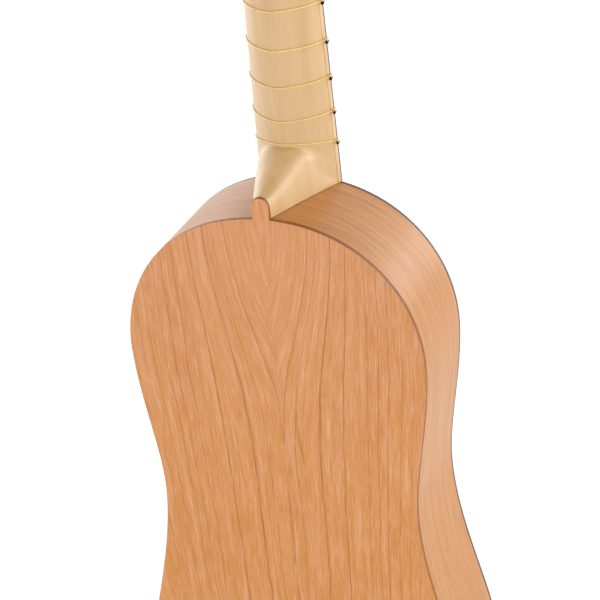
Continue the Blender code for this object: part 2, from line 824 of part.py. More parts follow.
def make_peghead():
    steps = 12
    rings = []
    root_depth = neck_depth(NECK_END) - HEAD_DROP
    for v in head_levels():
        t = min(v / HEAD_THROAT, 1)
        ease = eased(t)
        depth = root_depth + (HEAD_THICKNESS - root_depth) * math.sqrt(ease)
        power = 2 / (NECK_ROUNDNESS + (HEAD_SQUARENESS - NECK_ROUNDNESS) * ease)
        ring = []
        for k in range(steps + 1):
            a = math.pi * k / steps
            c, s = math.cos(a), math.sin(a)
            x = math.copysign(head_half(v) * abs(c) ** power, c)
            y = -depth * abs(s) ** power
            lean = -y * math.tan(HEAD_TILT) * max(0, 1 - t)
            ring.append((x, y, v + lean))
        rings.append(ring)
    peghead = loft("peghead", rings, "maple", head)
    rods = []
    for x, v in peg_places:
        ends = [(x, y, v) for y in (-2 * HEAD_THICKNESS, HEAD_THICKNESS)]
        rods.append((*ends, PEG_BACK_RADIUS + PEG_HOLE_GAP))
    boolean(peghead, cylinders("peg_holes", rods, "maple", head), "DIFFERENCE")


def peg_rings():
    """Distance from the peghead's face, then the two half widths, from the front end to the thumb."""
    back = -HEAD_THICKNESS - GAP
    below = back - PEG_COLLAR_LENGTH
    thumb = below - PEG_STEM
    front_radius, back_radius, collar = PEG_FRONT_RADIUS, PEG_BACK_RADIUS, PEG_COLLAR_RADIUS
    bead = collar + PEG_COLLAR_BEAD
    rows = [
        (PEG_REACH, 0.6 * front_radius, 0.6 * front_radius),
        (PEG_REACH - PEG_TIP_ROUNDING, front_radius, front_radius),
        (0.0, front_radius, front_radius),
        (back + GAP / 2, back_radius, back_radius),
        (back, collar, collar),
        (back - PEG_COLLAR_LENGTH / 2, bead, bead),
        (below, collar, collar),
        (thumb, 0.72 * back_radius, 0.72 * back_radius),
    ]
    for share, wide, thin in THUMB_SHAPE:
        half = PEG_THUMB_HALF * wide
        rows.append((thumb - PEG_THUMB_LENGTH * share, half, PEG_THUMB_THICKNESS / 2 * thin))
    return rows


def make_peg(number, x, v):
    rings = []
    for distance, wide, deep in peg_rings():
        turns = circle(1, PEG_SIDES)
        rings.append([(wide * c, distance, deep * s) for c, s in turns])
    peg = loft(f"peg_{number}", rings, "boxwood", head)
    peg.location = (x, 0, v)
    return peg


# Strings


def wound_radius(diameter):
    """Distance of a wound string's middle from its peg's axis."""
    return PEG_FRONT_RADIUS + GAP + diameter / 2


def make_string(number, peg_x, peg_v):
    x_nut, x_bridge = nut_places[number - 1], bridge_places[number - 1]
    diameter = STRING_DIAMETERS[number - 1]
    tail = -BRIDGE_AT - BRIDGE_WIDTH - STRING_TAIL
    points = [
        Vector((x_bridge, STRING_HEIGHT_AT_BRIDGE, tail)),
        Vector((x_bridge, STRING_HEIGHT_AT_BRIDGE, -BRIDGE_AT)),
        Vector((x_nut, STRING_HEIGHT_AT_NUT, NUT_AT)),
        Vector((x_nut, STRING_HEIGHT_AT_NUT, NECK_END)),
    ]
    to_head = head.matrix_world.inverted() @ front.matrix_world
    radius = wound_radius(diameter)
    inner = 1 if x_nut > peg_x else -1
    start = to_head @ points[-1]
    dx, dv = peg_x - start.x, peg_v - start.z
    distance = math.hypot(dx, dv)
    heading = math.atan2(dv, dx) - inner * math.asin(radius / distance)
    touch = heading - inner * math.pi / 2
    centre = Vector((peg_x, STRING_ABOVE_HEAD, peg_v))
    from_head = to_head.inverted()
    turns = 9
    for i in range(turns):
        a = touch + inner * math.pi * 1.1 * i / (turns - 1)
        wrap = centre + radius * Vector((math.cos(a), 0, math.sin(a)))
        points.append(from_head @ wrap)
    tube(f"string_{number}", points, diameter / 2, "gut", front)
    return touch, inner


def make_winding(number, peg, touch, inner):
    diameter = STRING_DIAMETERS[number - 1]
    radius = wound_radius(diameter)
    pitch = diameter + WINDING_CLEARANCE
    first = STRING_ABOVE_HEAD + diameter + GAP
    count = WINDING_TURNS * WINDING_POINTS
    points = []
    for i in range(count + 1):
        a = touch + inner * 2 * math.pi * i / WINDING_POINTS
        height = first + pitch * i / WINDING_POINTS
        points.append(Vector((radius * math.cos(a), height, radius * math.sin(a))))
    winding = tube(f"string_winding_{number}", points, diameter / 2, "gut", head)
    winding.location = peg.location
    nearest = min(
        (points[i] - points[j]).length
        for i in range(count + 1)
        for j in range(i + WINDING_POINTS // 2, count + 1)
    )
    return nearest - diameter


def make_pegs_and_strings():
    gaps = []
    for number, (x, v) in enumerate(peg_places, 1):
        peg = make_peg(number, x, v)
        touch, inner = make_string(number, x, v)
        gaps.append(make_winding(number, peg, touch, inner))
    print(f"least gap between the turns of a winding: {min(gaps) * 1000:.2f} mm")


clear_scene()
parts = collection("renaissance_guitar")
tools = collection("cutters", hidden=True)
front = empty_frame("front_plane", (0, BODY_DEPTH, 0), TAPER)
head = empty_frame("head_plane", (0, -HEAD_DROP, NECK_END + GAP), HEAD_TILT, front)
bpy.context.view_layer.update()

nut_places = string_places(COURSE_SPACING_AT_NUT, PAIR_SPACING_AT_NUT)
bridge_places = string_places(COURSE_SPACING_AT_BRIDGE, PAIR_SPACING_AT_BRIDGE)
treble_pegs = [(-PEG_ROW_HALF, v) for v in PEG_ROWS_AT]
bass_pegs = [(PEG_ROW_HALF, v) for v in reversed(PEG_ROWS_AT)]
peg_places = [*treble_pegs, (0.0, CROWN_AT), *bass_pegs]

make_back()
make_soundboard()
make_ribs()
make_blocks()
make_linings()
make_bars()
make_rose()
make_neck()
make_fingerboard()
make_nut()
make_frets()
make_bridge()
make_peghead()
make_pegs_and_strings()
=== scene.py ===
from math import asin, atan2, copysign, cos, hypot, pi, radians, sin, sqrt, tan

import bmesh
import bpy
from mathutils import Matrix, Vector


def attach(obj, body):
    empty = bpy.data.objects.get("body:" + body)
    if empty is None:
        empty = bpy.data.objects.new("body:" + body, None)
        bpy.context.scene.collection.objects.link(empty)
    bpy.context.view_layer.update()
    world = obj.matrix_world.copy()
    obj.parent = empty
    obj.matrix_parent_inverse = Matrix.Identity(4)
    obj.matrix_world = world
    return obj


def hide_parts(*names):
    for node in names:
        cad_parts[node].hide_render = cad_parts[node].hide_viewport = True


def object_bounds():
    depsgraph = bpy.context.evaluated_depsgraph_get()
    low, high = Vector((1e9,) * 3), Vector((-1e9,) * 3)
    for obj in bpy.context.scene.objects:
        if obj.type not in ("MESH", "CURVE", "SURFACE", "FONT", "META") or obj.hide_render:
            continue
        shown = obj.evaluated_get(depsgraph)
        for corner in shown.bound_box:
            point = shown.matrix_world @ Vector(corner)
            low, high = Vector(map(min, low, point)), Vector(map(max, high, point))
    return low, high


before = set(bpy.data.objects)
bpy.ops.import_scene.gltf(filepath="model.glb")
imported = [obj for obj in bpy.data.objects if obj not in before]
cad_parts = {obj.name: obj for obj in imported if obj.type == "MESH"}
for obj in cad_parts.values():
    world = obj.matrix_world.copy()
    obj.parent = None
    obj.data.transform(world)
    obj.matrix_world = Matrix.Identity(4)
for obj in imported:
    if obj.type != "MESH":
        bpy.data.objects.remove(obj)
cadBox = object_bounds()

fit = 0.0003  # the clearance that the solids keep
print("frame loaded")


# Shader sums: a Flow is a socket that Python expressions can work on

class Flow:
    def __init__(self, nodes, socket):
        self.nodes, self.socket = nodes, socket

    def maths(self, operation, *values, clamp=False):
        return self.nodes.maths(operation, *values, clamp=clamp)

    def __add__(self, other):
        return self.maths("ADD", self, other)

    def __sub__(self, other):
        return self.maths("SUBTRACT", self, other)

    def __rsub__(self, other):
        return self.maths("SUBTRACT", other, self)

    def __mul__(self, other):
        return self.maths("MULTIPLY", self, other)

    def __truediv__(self, other):
        return self.maths("DIVIDE", self, other)

    def __abs__(self):
        return self.maths("ABSOLUTE", self)

    __radd__, __rmul__ = __add__, __mul__

    def above(self, edge, soft):  # 0 below the edge, 1 once soft past it
        return self.maths("MULTIPLY", self - edge, 1 / soft, clamp=True)

    def near(self, at, reach):  # 1 at a value, 0 once reach away from it
        return self.maths("SUBTRACT", 1.0, abs(self - at) / reach, clamp=True)


class Nodes:
    def __init__(self, tree):
        self.tree = tree

    def add(self, kind, settings={}, values={}, out=0):
        node = self.tree.nodes.new("ShaderNode" + kind)
        for name, value in settings.items():
            if name == "stops":
                self.fillRamp(node.color_ramp.elements, value)
            else:
                setattr(node, name, value)
        for socket, value in values.items():
            if isinstance(value, Flow):
                self.tree.links.new(value.socket, node.inputs[socket])
            else:
                node.inputs[socket].default_value = value
        return Flow(self, node.outputs[out])

    def fillRamp(self, elements, stops):
        while len(elements) < len(stops):
            elements.new(1.0)
        for element, (at, code) in zip(elements, stops):
            element.position = at
            element.color = (*shade(code), 1)

    def maths(self, operation, *values, clamp=False):
        settings = {"operation": operation, "use_clamp": clamp}
        return self.add("Math", settings, dict(enumerate(values)))

    def scaled(self, vector, factors):
        return self.add("VectorMath", {"operation": "MULTIPLY"}, {0: vector, 1: factors})

    def split(self, vector):
        node = self.add("SeparateXYZ", values={0: vector}).socket.node
        return [Flow(self, out) for out in node.outputs]

    def join(self, x, y, z):
        return self.add("CombineXYZ", values={0: x, 1: y, 2: z})

    def noise(self, vector, detail, roughness):
        values = {"Vector": vector, "Scale": 1.0, "Detail": detail, "Roughness": roughness}
        return self.add("TexNoise", values=values)

    def ramp(self, share, *stops):
        return self.add("ValToRGB", {"stops": stops}, {0: share})

    def mix(self, share, a, b):
        a, b = [(*shade(c), 1) if isinstance(c, str) else c for c in (a, b)]
        settings = {"data_type": "RGBA", "clamp_factor": True}
        return self.add("Mix", settings, {0: share, 6: a, 7: b}, out=2)

    def tint(self, colour, *layers):
        # each layer: a flow, where it starts, how steeply, in what colour
        for flow, start, steep, code in layers:
            colour = self.mix((flow - start) * steep, colour, code)
        return colour


class Finish(Nodes):
    def __init__(self, name, slot, **fixed):
        self.material = bpy.data.materials.new(name)
        self.material.use_nodes = True
        super().__init__(self.material.node_tree)
        self.slot = slot
        self.shader = self.tree.nodes["Principled BSDF"]
        for socket, value in fixed.items():
            self.shader.inputs[socket.replace("_", " ")].default_value = value
        where = self.add("TexCoord", out="Object")
        self.place = self.scaled(where, (1000, 1000, 1000))  # millimetres
        self.x, self.y, self.z = self.split(self.place)

    def stretched(self, x, y, z, detail=2.0, roughness=0.5):  # noise over scaled millimetres
        return self.noise(self.scaled(self.place, (x, y, z)), detail, roughness)

    def veined(self, x, y, z, detail=2.0, roughness=0.5):  # noise over flows
        return self.noise(self.join(x, y, z), detail, roughness)

    def grain(self, broad, fine, codes, layer):  # two tones over a broad noise, under a fine one
        fine = self.stretched(*fine)
        colour = self.ramp(self.stretched(*broad), *zip((0.35, 0.65), codes))
        self.feed(Base_Color=self.tint(colour, (fine, *layer)))
        return fine

    def feed(self, **flows):
        for socket, flow in flows.items():
            self.tree.links.new(flow.socket, self.shader.inputs[socket.replace("_", " ")])
        return self

    def relief(self, height, distance, strength):
        values = {"Height": height, "Distance": distance, "Strength": strength}
        return self.feed(Normal=self.add("Bump", values=values))


def shade(code):  # a colour from its hex code
    parts = [int(code[i:i + 2], 16) / 255 for i in (0, 2, 4)]
    return tuple(c / 12.92 if c < 0.04045 else ((c + 0.055) / 1.055) ** 2.4 for c in parts)


def newObject(name, data):
    thing = bpy.data.objects.new(name, data)
    bpy.context.scene.collection.objects.link(thing)
    return thing


# Camera, floor and light

view = {
    "azimuth": radians(22.73),
    "elevation": radians(26.31),
    "roll": radians(-5.32),
    "distance": 1.1356,
    "target": Vector((0.01808, 0, -0.04537)),
    "lens": 128.3,
}


def makeCamera():
    turn, rise, roll = view["azimuth"], view["elevation"], view["roll"]
    flat = cos(rise)
    back = Vector((sin(turn) * flat, -cos(turn) * flat, sin(rise)))
    level = back.cross(Vector((0, 0, -1))).normalized()
    upright = back.cross(level)
    right = level * cos(roll) + upright * sin(roll)
    up = upright * cos(roll) - level * sin(roll)
    camera = newObject("camera", bpy.data.cameras.new("camera"))
    camera.data.lens = view["lens"]
    camera.data.sensor_width = 36
    camera.data.clip_start = 0.01
    camera.matrix_world = Matrix((right, up, back)).transposed().to_4x4()
    camera.location = view["target"] + view["distance"] * back
    bpy.context.scene.camera = camera


studio = {
    # a bright band of walls round the object under a dim ceiling
    "walls": {"right": 1.95, "left": 1.95, "behind": 1.2, "front": 0.62},
    # where a glow starts along its direction, and over how far it grows
    "wallEdge": (-0.11, 1.11),
    "frontEdge": (0.3, 0.5),
    "ceilingEdge": (0.5, 0.3),
    "rise": (-0.1, 1.0),  # the right wall grows brighter from a share at its foot
    "foot": 0.55,
    "lift": 1.2,
    "ceiling": 0.145,
    "floorSize": 40.0,
    "floorColour": "f4f4f4",
    "floorGlow": 0.2,
    # name: place, size, power
    "lights": {
        "leftBehind": ((-1.2, 0.8, 0.3), (0.7, 1.4), 2.6),
        "lowFront": ((0.2, -1.4, -0.25), (1.6, 0.2), 1.2),
        "rightBehind": ((0.84, 1.25, 0.18), (0.5, 0.5), 2.6),
        "highRight": ((0.9, 0.5, 1.0), (0.6, 0.6), 5.0),
    },
    "aim": (0, 0, -0.1),
}


def makeWalls():
    world = bpy.data.worlds.new("studio")
    world.use_nodes = True
    sky = Nodes(world.node_tree)
    x, y, z = sky.split(sky.add("TexCoord", out="Generated"))
    walls, edge = studio["walls"], studio["wallEdge"]
    right = x.above(*edge) * (z.above(*studio["rise"]) * studio["lift"] + studio["foot"])
    left, behind = (x * -1).above(*edge), y.above(*edge)
    front = (y * -1).above(*studio["frontEdge"])
    band = right * walls["right"] + left * walls["left"]
    band = band + behind * walls["behind"] + front * walls["front"]
    ceiling = z.above(*studio["ceilingEdge"])
    glow = (1 - ceiling) * band + ceiling * studio["ceiling"]
    background = sky.tree.nodes["Background"]
    sky.tree.links.new(glow.socket, background.inputs["Strength"])
    background.inputs["Color"].default_value = (1, 1, 1, 1)
    bpy.context.scene.world = world


def makeStudio():
    bpy.context.scene.view_settings.view_transform = "Standard"
    makeWalls()
    for name, (place, size, power) in studio["lights"].items():
        lamp = bpy.data.lights.new(name, "AREA")
        lamp.shape, lamp.size, lamp.size_y = "RECTANGLE", *size
        lamp.energy = power
        light = newObject(name, lamp)
        light.location = place
        away = Vector(place) - Vector(studio["aim"])
        light.rotation_euler = away.to_track_quat("Z", "Y").to_euler()
    half = studio["floorSize"] / 2
    low = cadBox[0][2]
    mesh = bpy.data.meshes.new("floor")
    corners = [(x * half, y * half, low) for x, y in ((-1, -1), (1, -1), (1, 1), (-1, 1))]
    mesh.from_pydata(corners, [], [(0, 1, 2, 3)])
    colour = (*shade(studio["floorColour"]), 1)
    glow = {"Emission_Color": (1, 1, 1, 1), "Emission_Strength": studio["floorGlow"]}
    mesh.materials.append(Finish("paper", None, Roughness=0.9, Base_Color=colour, **glow).material)
    floor = newObject("floor", mesh)


makeCamera()
makeStudio()
print("camera and studio ready")


# Woods, gut and bone. Places are in millimetres: x across, y from the back to the front, z up

backGrain = {
    "flame": 46,  # how far the grain sweeps in towards the joint, and over what height and width
    "flameHeight": 70,
    "flameWidth": 52,
    "closing": (0.0009, 40),  # how the rings draw together towards the tail
    # a year ring: distance from the joint on the left leaf and on the right, half width, depth
    "rings": (
        (-17.5, -24, 0.7, 0.4), (-12.5, -10, 0.6, 0.3), (-4, 0.4, 0.9, 0.6), (9.2, 8, 0.7, 0.45),
        (14, 12.8, 0.6, 0.3), (19.3, 23.6, 1.0, 0.75), (29, 32.5, 0.5, 0.2), (36.8, 38.8, 0.9, 0.7),
        (46.5, 49.5, 0.6, 0.3), (54, 54.8, 0.7, 0.5), (61.2, 61.4, 0.7, 0.55),
        (66.8, 67.2, 0.7, 0.5), (75, 75.2, 0.7, 0.45), (81, 82, 0.6, 0.35), (88, 88.6, 0.6, 0.35),
    ),
    # a small streak: its place across and up, half width, half length and lean
    "gum": (10.2, -135, 1.1, 15, 0.1),
    # darker end grain, with painted shade over it along the plate's edge and round the button's
    # end: from how far out it shows, how softly, its colour
    "buttonEndGrainAndShade": (4.25, 0.2, "8a4508"),
    "edge": (0.12, 0.2, "824006"),
}


def cherryBack():
    wood = Finish("cherryBack", "cherry", Roughness=0.45)
    half = abs(wood.x + 0.001)
    side = wood.x.above(-0.5, 1.0)  # the two leaves match, but not to the last fibre
    reach = (wood.z * wood.z) * (-1 / backGrain["flameHeight"] ** 2)
    flame = wood.maths("EXPONENT", reach) * backGrain["flame"]
    taper = wood.maths("MAXIMUM", 1 - half / backGrain["flameWidth"], 0.0)
    closing, down = backGrain["closing"]
    drawn = (wood.z + down) * closing + 1
    slow = wood.veined(half * 0.02, side * 0.35, wood.z * 0.014, 1.0) * 6 - 3
    quick = wood.veined(half * 0.15, side * 2.0, wood.z * 0.09) * 1.2 - 0.6
    ring = (half - flame * taper) / drawn + slow + quick
    lines = 0.0
    for left, right, width, depth in backGrain["rings"]:
        lines = lines + (ring - side * (right - left)).near(left, width) * depth
    worn = wood.veined(ring * 0.3, side * 5, wood.z * 0.05)
    faint = wood.veined(ring * 0.8, side * 3, wood.z * 0.012, 3.0, 0.65)
    tone = wood.veined(ring * 0.22, side * 2, wood.z * 0.018, 2.0, 0.6)
    broad = wood.veined(ring * 0.10, side, wood.z * 0.007, 3.0)
    blotch = wood.stretched(0.13, 0.1, 0.05, 3.0)
    fibre = wood.veined(ring * 1.6, wood.y * 0.5, wood.z * 0.07, 4.0, 0.75)
    pores = wood.veined(ring * 2.8, wood.y, wood.z * 0.16, 2.0, 0.7)
    colour = wood.ramp(broad, (0.32, "d29460"), (0.5, "cb8a51"), (0.68, "c27e45"))
    colour = wood.mix(wood.z.above(-250, 240) * 0.5, colour, wood.mix(0.55, colour, "d08b66"))
    colour = wood.mix(wood.z.above(-20, -180) * 0.75, colour, "c47c1f")
    colour = wood.tint(colour, (tone, 0.5, 4.0, "d79a6c"), (tone, 0.5, -4.0, "c58337"))
    colour = wood.tint(colour, (blotch, 0.45, 1.6, "d3936b"), (faint, 0.42, 1.2, "b7753e"))
    colour = wood.mix(lines * (worn * 1.3 + 0.4), colour, "95531e")
    colour = wood.tint(colour, (fibre, 0.5, 2.9, "e2b287"), (fibre, 0.5, -2.6, "ab6932"))
    colour = wood.tint(colour, (pores, 0.55, 2.4, "a16330"))
    across, up, width, length, lean = backGrain["gum"]
    gum = (wood.x + (wood.z - up) * lean).near(across, width) * wood.z.near(up, length)
    colour = wood.mix(gum * 0.6, colour, "a14c19")
    colour = wood.mix(half.near(0.0, 0.4) * 0.15, colour, "925223")
    # the button's rounded end: its own darker end grain with painted edge shade
    colour = wood.mix(*endGrainAndShade(wood, colour))
    # painted shade along the plate's edge by the ribs, over the edge's own darker grain
    start, soft, code = backGrain["edge"]
    colour = wood.mix(wood.y.above(start, soft) * 0.95, colour, code)
    wood.feed(Base_Color=colour, Roughness=0.4 + fibre * 0.14)
    return wood.relief(pores * 0.5 + fibre, 0.00012, 0.35)


# darker end grain with painted edge shade round the button's top
def endGrainAndShade(wood, colour):  # the button's rounded end
    start, soft, code = backGrain["buttonEndGrainAndShade"]
    centre, rise = (body["buttonHeight"] - body["buttonHalf"]) * 1000, 6
    share = (wood.z - centre).above(0, rise)
    span = wood.maths("SQRT", wood.x * wood.x + share * share * rise ** 2)
    return span.above(start, soft) * share, colour, code


def cherryRib():
    wood = Finish("cherryRib", "cherry", Roughness=0.4, Coat_Weight=0.1, Coat_Roughness=0.3)
    sway = wood.stretched(0.012, 0.02, 0.012, 1.0) * 3
    level = wood.y + sway
    fine = wood.veined(wood.x * 0.012, level * 1.9, wood.z * 0.012, 4.0, 0.75)
    broad = wood.veined(wood.x * 0.006, level * 0.14, wood.z * 0.006)
    dark = wood.veined(wood.x * 0.009, level * 0.5, wood.z * 0.009, 1.0)
    fleck = wood.stretched(0.11, 1.7, 0.11, 2.0, 0.7)
    colour = wood.ramp(broad, (0.34, "b77a35"), (0.5, "b0702d"), (0.66, "b67937"))
    colour = wood.tint(colour, (fine, 0.5, 5.0, "905216"), (fine, 0.5, -4.5, "cc9651"))
    colour = wood.mix(dark.near(0.5, 0.012) * 0.6, colour, "784310")
    colour = wood.tint(colour, (fleck, 0.53, 2.4, "92561b"))
    wood.feed(Base_Color=colour, Roughness=0.36 + fine * 0.12)
    return wood.relief(fine + fleck * 0.4, 0.0001, 0.4)


def mapleStreak(wood):
    return wood.stretched(1.1, 1.1, 0.022, 3.0, 0.6)


def maple():
    coat = {"Coat_Weight": 1.0, "Coat_IOR": 1.6, "Coat_Roughness": 0.5}
    wood = Finish("maple", "maple", Roughness=0.42, **coat)
    streak = mapleStreak(wood)
    broad = wood.stretched(0.09, 0.09, 0.012)
    fleck = wood.stretched(3.0, 3.0, 0.28, 1.0)
    colour = wood.ramp(broad, (0.35, "cfa975"), (0.55, "c7a16a"), (0.7, "c29862"))
    colour = wood.tint(colour, (streak, 0.48, 1.3, "bc8e54"), (fleck, 0.6, 1.4, "ad7943"))
    wood.feed(Base_Color=colour, Roughness=0.38 + streak * 0.12)
    return wood.relief(streak, 0.0001, 0.3)


def spruceBoard():
    wood = Finish("spruceBoard", "spruce", Roughness=0.5)
    half = abs(wood.x + 0.001)
    wander = wood.veined(half * 0.02, 1.0, wood.z * 0.012, 1.0) * 3
    late = wood.maths("FRACT", (half + wander) * 0.78)
    rise = late.above(0.25, 0.7)
    fall = 1 - late.above(0.95, 0.05)
    silk = wood.stretched(0.5, 0.4, 1.6)
    fibre = wood.stretched(3.2, 1.0, 0.12)
    colour = wood.mix(rise * fall * 0.6, "e9c893", "c08d50")
    colour = wood.tint(colour, (silk, 0.55, 1.2, "f2d9ac"), (fibre, 0.5, 0.9, "d3a467"))
    colour = wood.mix(half.near(0.0, 0.3) * 0.35, colour, "8c5f31")
    wood.feed(Base_Color=colour, Roughness=0.46 + fibre * 0.12)
    return wood.relief(rise * fall + fibre, 0.00008, 0.4)


def spruceInner():
    wood = Finish("spruceInner", "spruce", Roughness=0.7)
    grain = wood.stretched(0.05, 1.5, 0.9)
    colour = wood.ramp(grain, (0.35, "ecd0a0"), (0.6, "cfa268"))
    return wood.feed(Base_Color=colour).relief(grain, 0.0001, 0.4)


def darkGrain(name, codes, poreCode, finished=lambda wood, colour: colour):
    wood = Finish(name, "dark_wood", Roughness=0.38)
    streak = wood.stretched(1.8, 1.8, 0.03, 3.0, 0.6)
    pores = wood.stretched(5.0, 5.0, 0.35, 1.0)
    colour = wood.ramp(streak, *zip((0.38, 0.55, 0.7), codes))
    colour = wood.tint(colour, (pores, 0.6, 2, poreCode))
    wood.feed(Base_Color=finished(wood, colour), Roughness=0.34 + streak * 0.16)
    return wood.relief(pores, 0.00008, 0.5)


def darkWood():
    return darkGrain("darkWood", ("3a271d", "4c3426", "604430"), "22150e")


def onPaleCore(wood, dark):  # the core shows along the neck's sides, under the glued face
    pale = wood.ramp(mapleStreak(wood), (0.4, "d6b586"), (0.65, "bf9866"))
    outward = frontPlane.to_3x3() @ Vector((0, 1, 0))
    level = (wood.y - body["depth"] * 1000) * outward.y + wood.z * outward.z
    return wood.mix(level.above(-neck["face"] * 1000, 0.1), pale, dark)


def boardWood():
    return darkGrain("boardWood", ("241712", "36231a", "4a3124"), "120b08", onPaleCore)


def roseRing():  # a checked band between two pale lines, over the ring's 2.8 mm
    wood = Finish("roseRing", "dark_wood", Roughness=0.36)
    down = wood.z + rose["at"] * 1000
    away = wood.maths("SQRT", wood.x * wood.x + down * down) - rose["radius"] * 1000
    turn = wood.maths("ARCTAN2", wood.x, down)
    check = wood.maths("PINGPONG", turn * rose["checks"], 1.0).above(0.48, 0.04)
    pale = away.near(0.35, 0.24).above(0, 0.2) + away.near(2.45, 0.24).above(0, 0.2)
    band = away.near(1.4, 0.62).above(0, 0.08) * check
    streak = wood.stretched(2.0, 2.0, 1.2)
    colour = wood.ramp(streak, (0.35, "221611"), (0.65, "3b271d"))
    colour = wood.mix(pale, colour, "e6cf9f")
    colour = wood.mix(band, colour, "c88a55")
    wood.feed(Base_Color=colour)
    return wood.relief(streak, 0.00006, 0.4)


def pearwood():
    wood = Finish("pearwood", "pearwood", Roughness=0.45)
    broad, fine, tones = (0.08, 0.3, 0.02), (3.5, 3.5, 0.4), ("a8744c", "8f5d3a")
    fibre = wood.grain(broad, fine, tones, (0.5, 1.2, "7a4c2e"))
    return wood.feed(Roughness=0.4 + fibre * 0.14).relief(fibre, 0.00006, 0.4)


def boxwood():
    wood = Finish("boxwood", "boxwood", Roughness=0.32)
    broad, fine, tones = (0.35, 0.06, 0.35), (3.2, 0.3, 3.2), ("d2a55e", "b98440")
    fibre = wood.grain(broad, fine, tones, (0.5, 1.2, "9c6b30"))
    return wood.feed(Roughness=0.28 + fibre * 0.14).relief(fibre, 0.00005, 0.35)


def bone():
    piece = Finish("bone", "bone", Roughness=0.3, Subsurface_Weight=0.1, Subsurface_Scale=0.002)
    cloud, fine, tones = (0.5, 0.5, 0.5, 3.0), (0.6, 5.0, 5.0, 1.0), ("f2ead2", "e3d5b2")
    return piece.relief(piece.grain(cloud, fine, tones, (0.62, 2, "c7b184")), 0.00005, 0.3)


def gut():
    twist = Finish("gut", "gut", Roughness=0.35, Subsurface_Weight=0.15, Subsurface_Scale=0.001)
    cloud, fine, tones = (0.4, 0.4, 0.4), (2.2, 2.2, 2.2, 1.0), ("f0d48c", "e4bf70")
    return twist.relief(twist.grain(cloud, fine, tones, (0.55, 1.5, "c89b4c")), 0.0001, 0.6)


def burntGut():
    char = Finish("burntGut", "gut", Roughness=0.8, Specular_IOR_Level=0.2)
    crust = char.stretched(3.0, 3.0, 3.0, 3.0)
    colour = char.ramp(crust, (0.35, "020101"), (0.7, "0c0805"))
    return char.feed(Base_Color=colour).relief(crust, 0.0002, 0.8)


# Shapes

body = {
    "length": 0.363,
    "depth": 0.0614,
    "taper": radians(1.66),
    "back": 0.0022,
    "soundboard": 0.0018,
    "rib": 0.0018,
    "edging": 0.0015,
    "backRounding": 0.0005,
    "edgingRounding": 0.0002,
    "frontRounding": 0.00015,
    "shoulderReach": 0.0544,
    "upper": (0.0857, -0.0828),
    "waist": (0.0757, -0.1719),
    "lower": (0.0955, -0.285),
    "tailReach": 0.0550,
    "rises": (0.0436, 0.0246, 0.0220),  # straight runs above and below the two bouts and the waist
    "falls": (0.0303, 0.0447, 0.0440),
    "tailStripHalf": 0.003,
    "buttonHalf": 0.0050,
    "buttonHeight": 0.0126,
}

neck = {
    "nutAt": 0.2634,
    "nutWidth": 0.0045,
    "half": (0.0238, 0.0196),  # at the body, at the nut
    "deep": (0.0225, 0.0195),
    "roundness": 1.55,
    "fingerboard": 0.0037,
    "face": 0.0011,  # the dark wood on the fingerboard's pale core
    "heelStart": 0.0195,  # at the fingerboard's face
    "heelSlant": 0.28,  # it starts higher behind
    "heelHollow": 1.12,
    "heelNose": 0.009,
    "heelRoundness": 2.3,
    "heelNarrowing": 0.30,
    "cove": 0.004,
    "coveReach": 0.014,
    "overlap": 0.010,
    # cuts of its skin: below the button's rounding, on it, up the heel's ridge, up the shaft
    "cuts": (8, 15, 33, 24),
    "crowding": 1.6,
}
neckTop = neck["fingerboard"] + fit
neckEnd = neck["nutAt"] + neck["nutWidth"]

frontPlane = Matrix.Translation((0, body["depth"], 0)) @ Matrix.Rotation(body["taper"], 4, "X")


def eased(t):
    t = min(max(t, 0), 1)
    return t * t * (3 - 2 * t)


def bisect(passed, low, high, rounds=34):
    for _ in range(rounds):
        middle = (low + high) / 2
        low, high = (low, middle) if passed(middle) else (middle, high)
    return high


def outlinePoint(u, inset=0.0):  # u runs from 0 at the neck to 4 at the tail, on the bass side
    marks = [Vector((0, 0)), *[Vector(body[name]) for name in ("upper", "waist", "lower")]]
    marks.append(Vector((0, -body["length"])))
    rises, falls = body["rises"], body["falls"]
    leave = [Vector((body["shoulderReach"], 0)), *[Vector((0, -fall)) for fall in falls]]
    reach = [*[Vector((0, rise)) for rise in rises], Vector((body["tailReach"], 0))]
    k = min(int(u), 3)
    a, d = marks[k], marks[k + 1]
    b, c = a + leave[k], d + reach[k]
    t = u - k
    s = 1 - t
    place = s ** 3 * a + 3 * s * s * t * b + 3 * s * t * t * c + t ** 3 * d
    slope = s * s * (b - a) + 2 * s * t * (c - b) + t * t * (d - c)
    return place + inset * Vector((slope.y, -slope.x)).normalized()


def outlineRun(start, end, inset=0.0, steps=36):
    count = max(2, round((end - start) * steps))
    return [outlinePoint(start + (end - start) * i / count, inset) for i in range(count + 1)]


def bothSides(half):
    return list(half) + [Vector((-p.x, p.y)) for p in reversed(half) if p.x > 1e-6]


def mirrored(side):  # a side's points, then their images back to the start
    return [*side, *[(-p[0], *p[1:]) for p in reversed(side)]]


def ringOf(radius, count, centre=(0, 0)):
    turns = [2 * pi * i / count for i in range(count)]
    return [(centre[0] + radius * cos(a), centre[1] + radius * sin(a)) for a in turns]


def skin(mesh, rings, loop=False, paint=0):
    rows = [[mesh.verts.new(point) for point in ring] for ring in rings]
    count = len(rings[0])
    pairs = list(zip(rows, rows[1:] + rows[:1])) if loop else list(zip(rows, rows[1:]))
    faces = [
        mesh.faces.new((low[i], low[(i + 1) % count], high[(i + 1) % count], high[i]))
        for low, high in pairs
        for i in range(count)
    ]
    if not loop:
        faces += [mesh.faces.new(rows[0][::-1]), mesh.faces.new(rows[-1])]
    for face in faces:
        face.material_index = paint
    return mesh


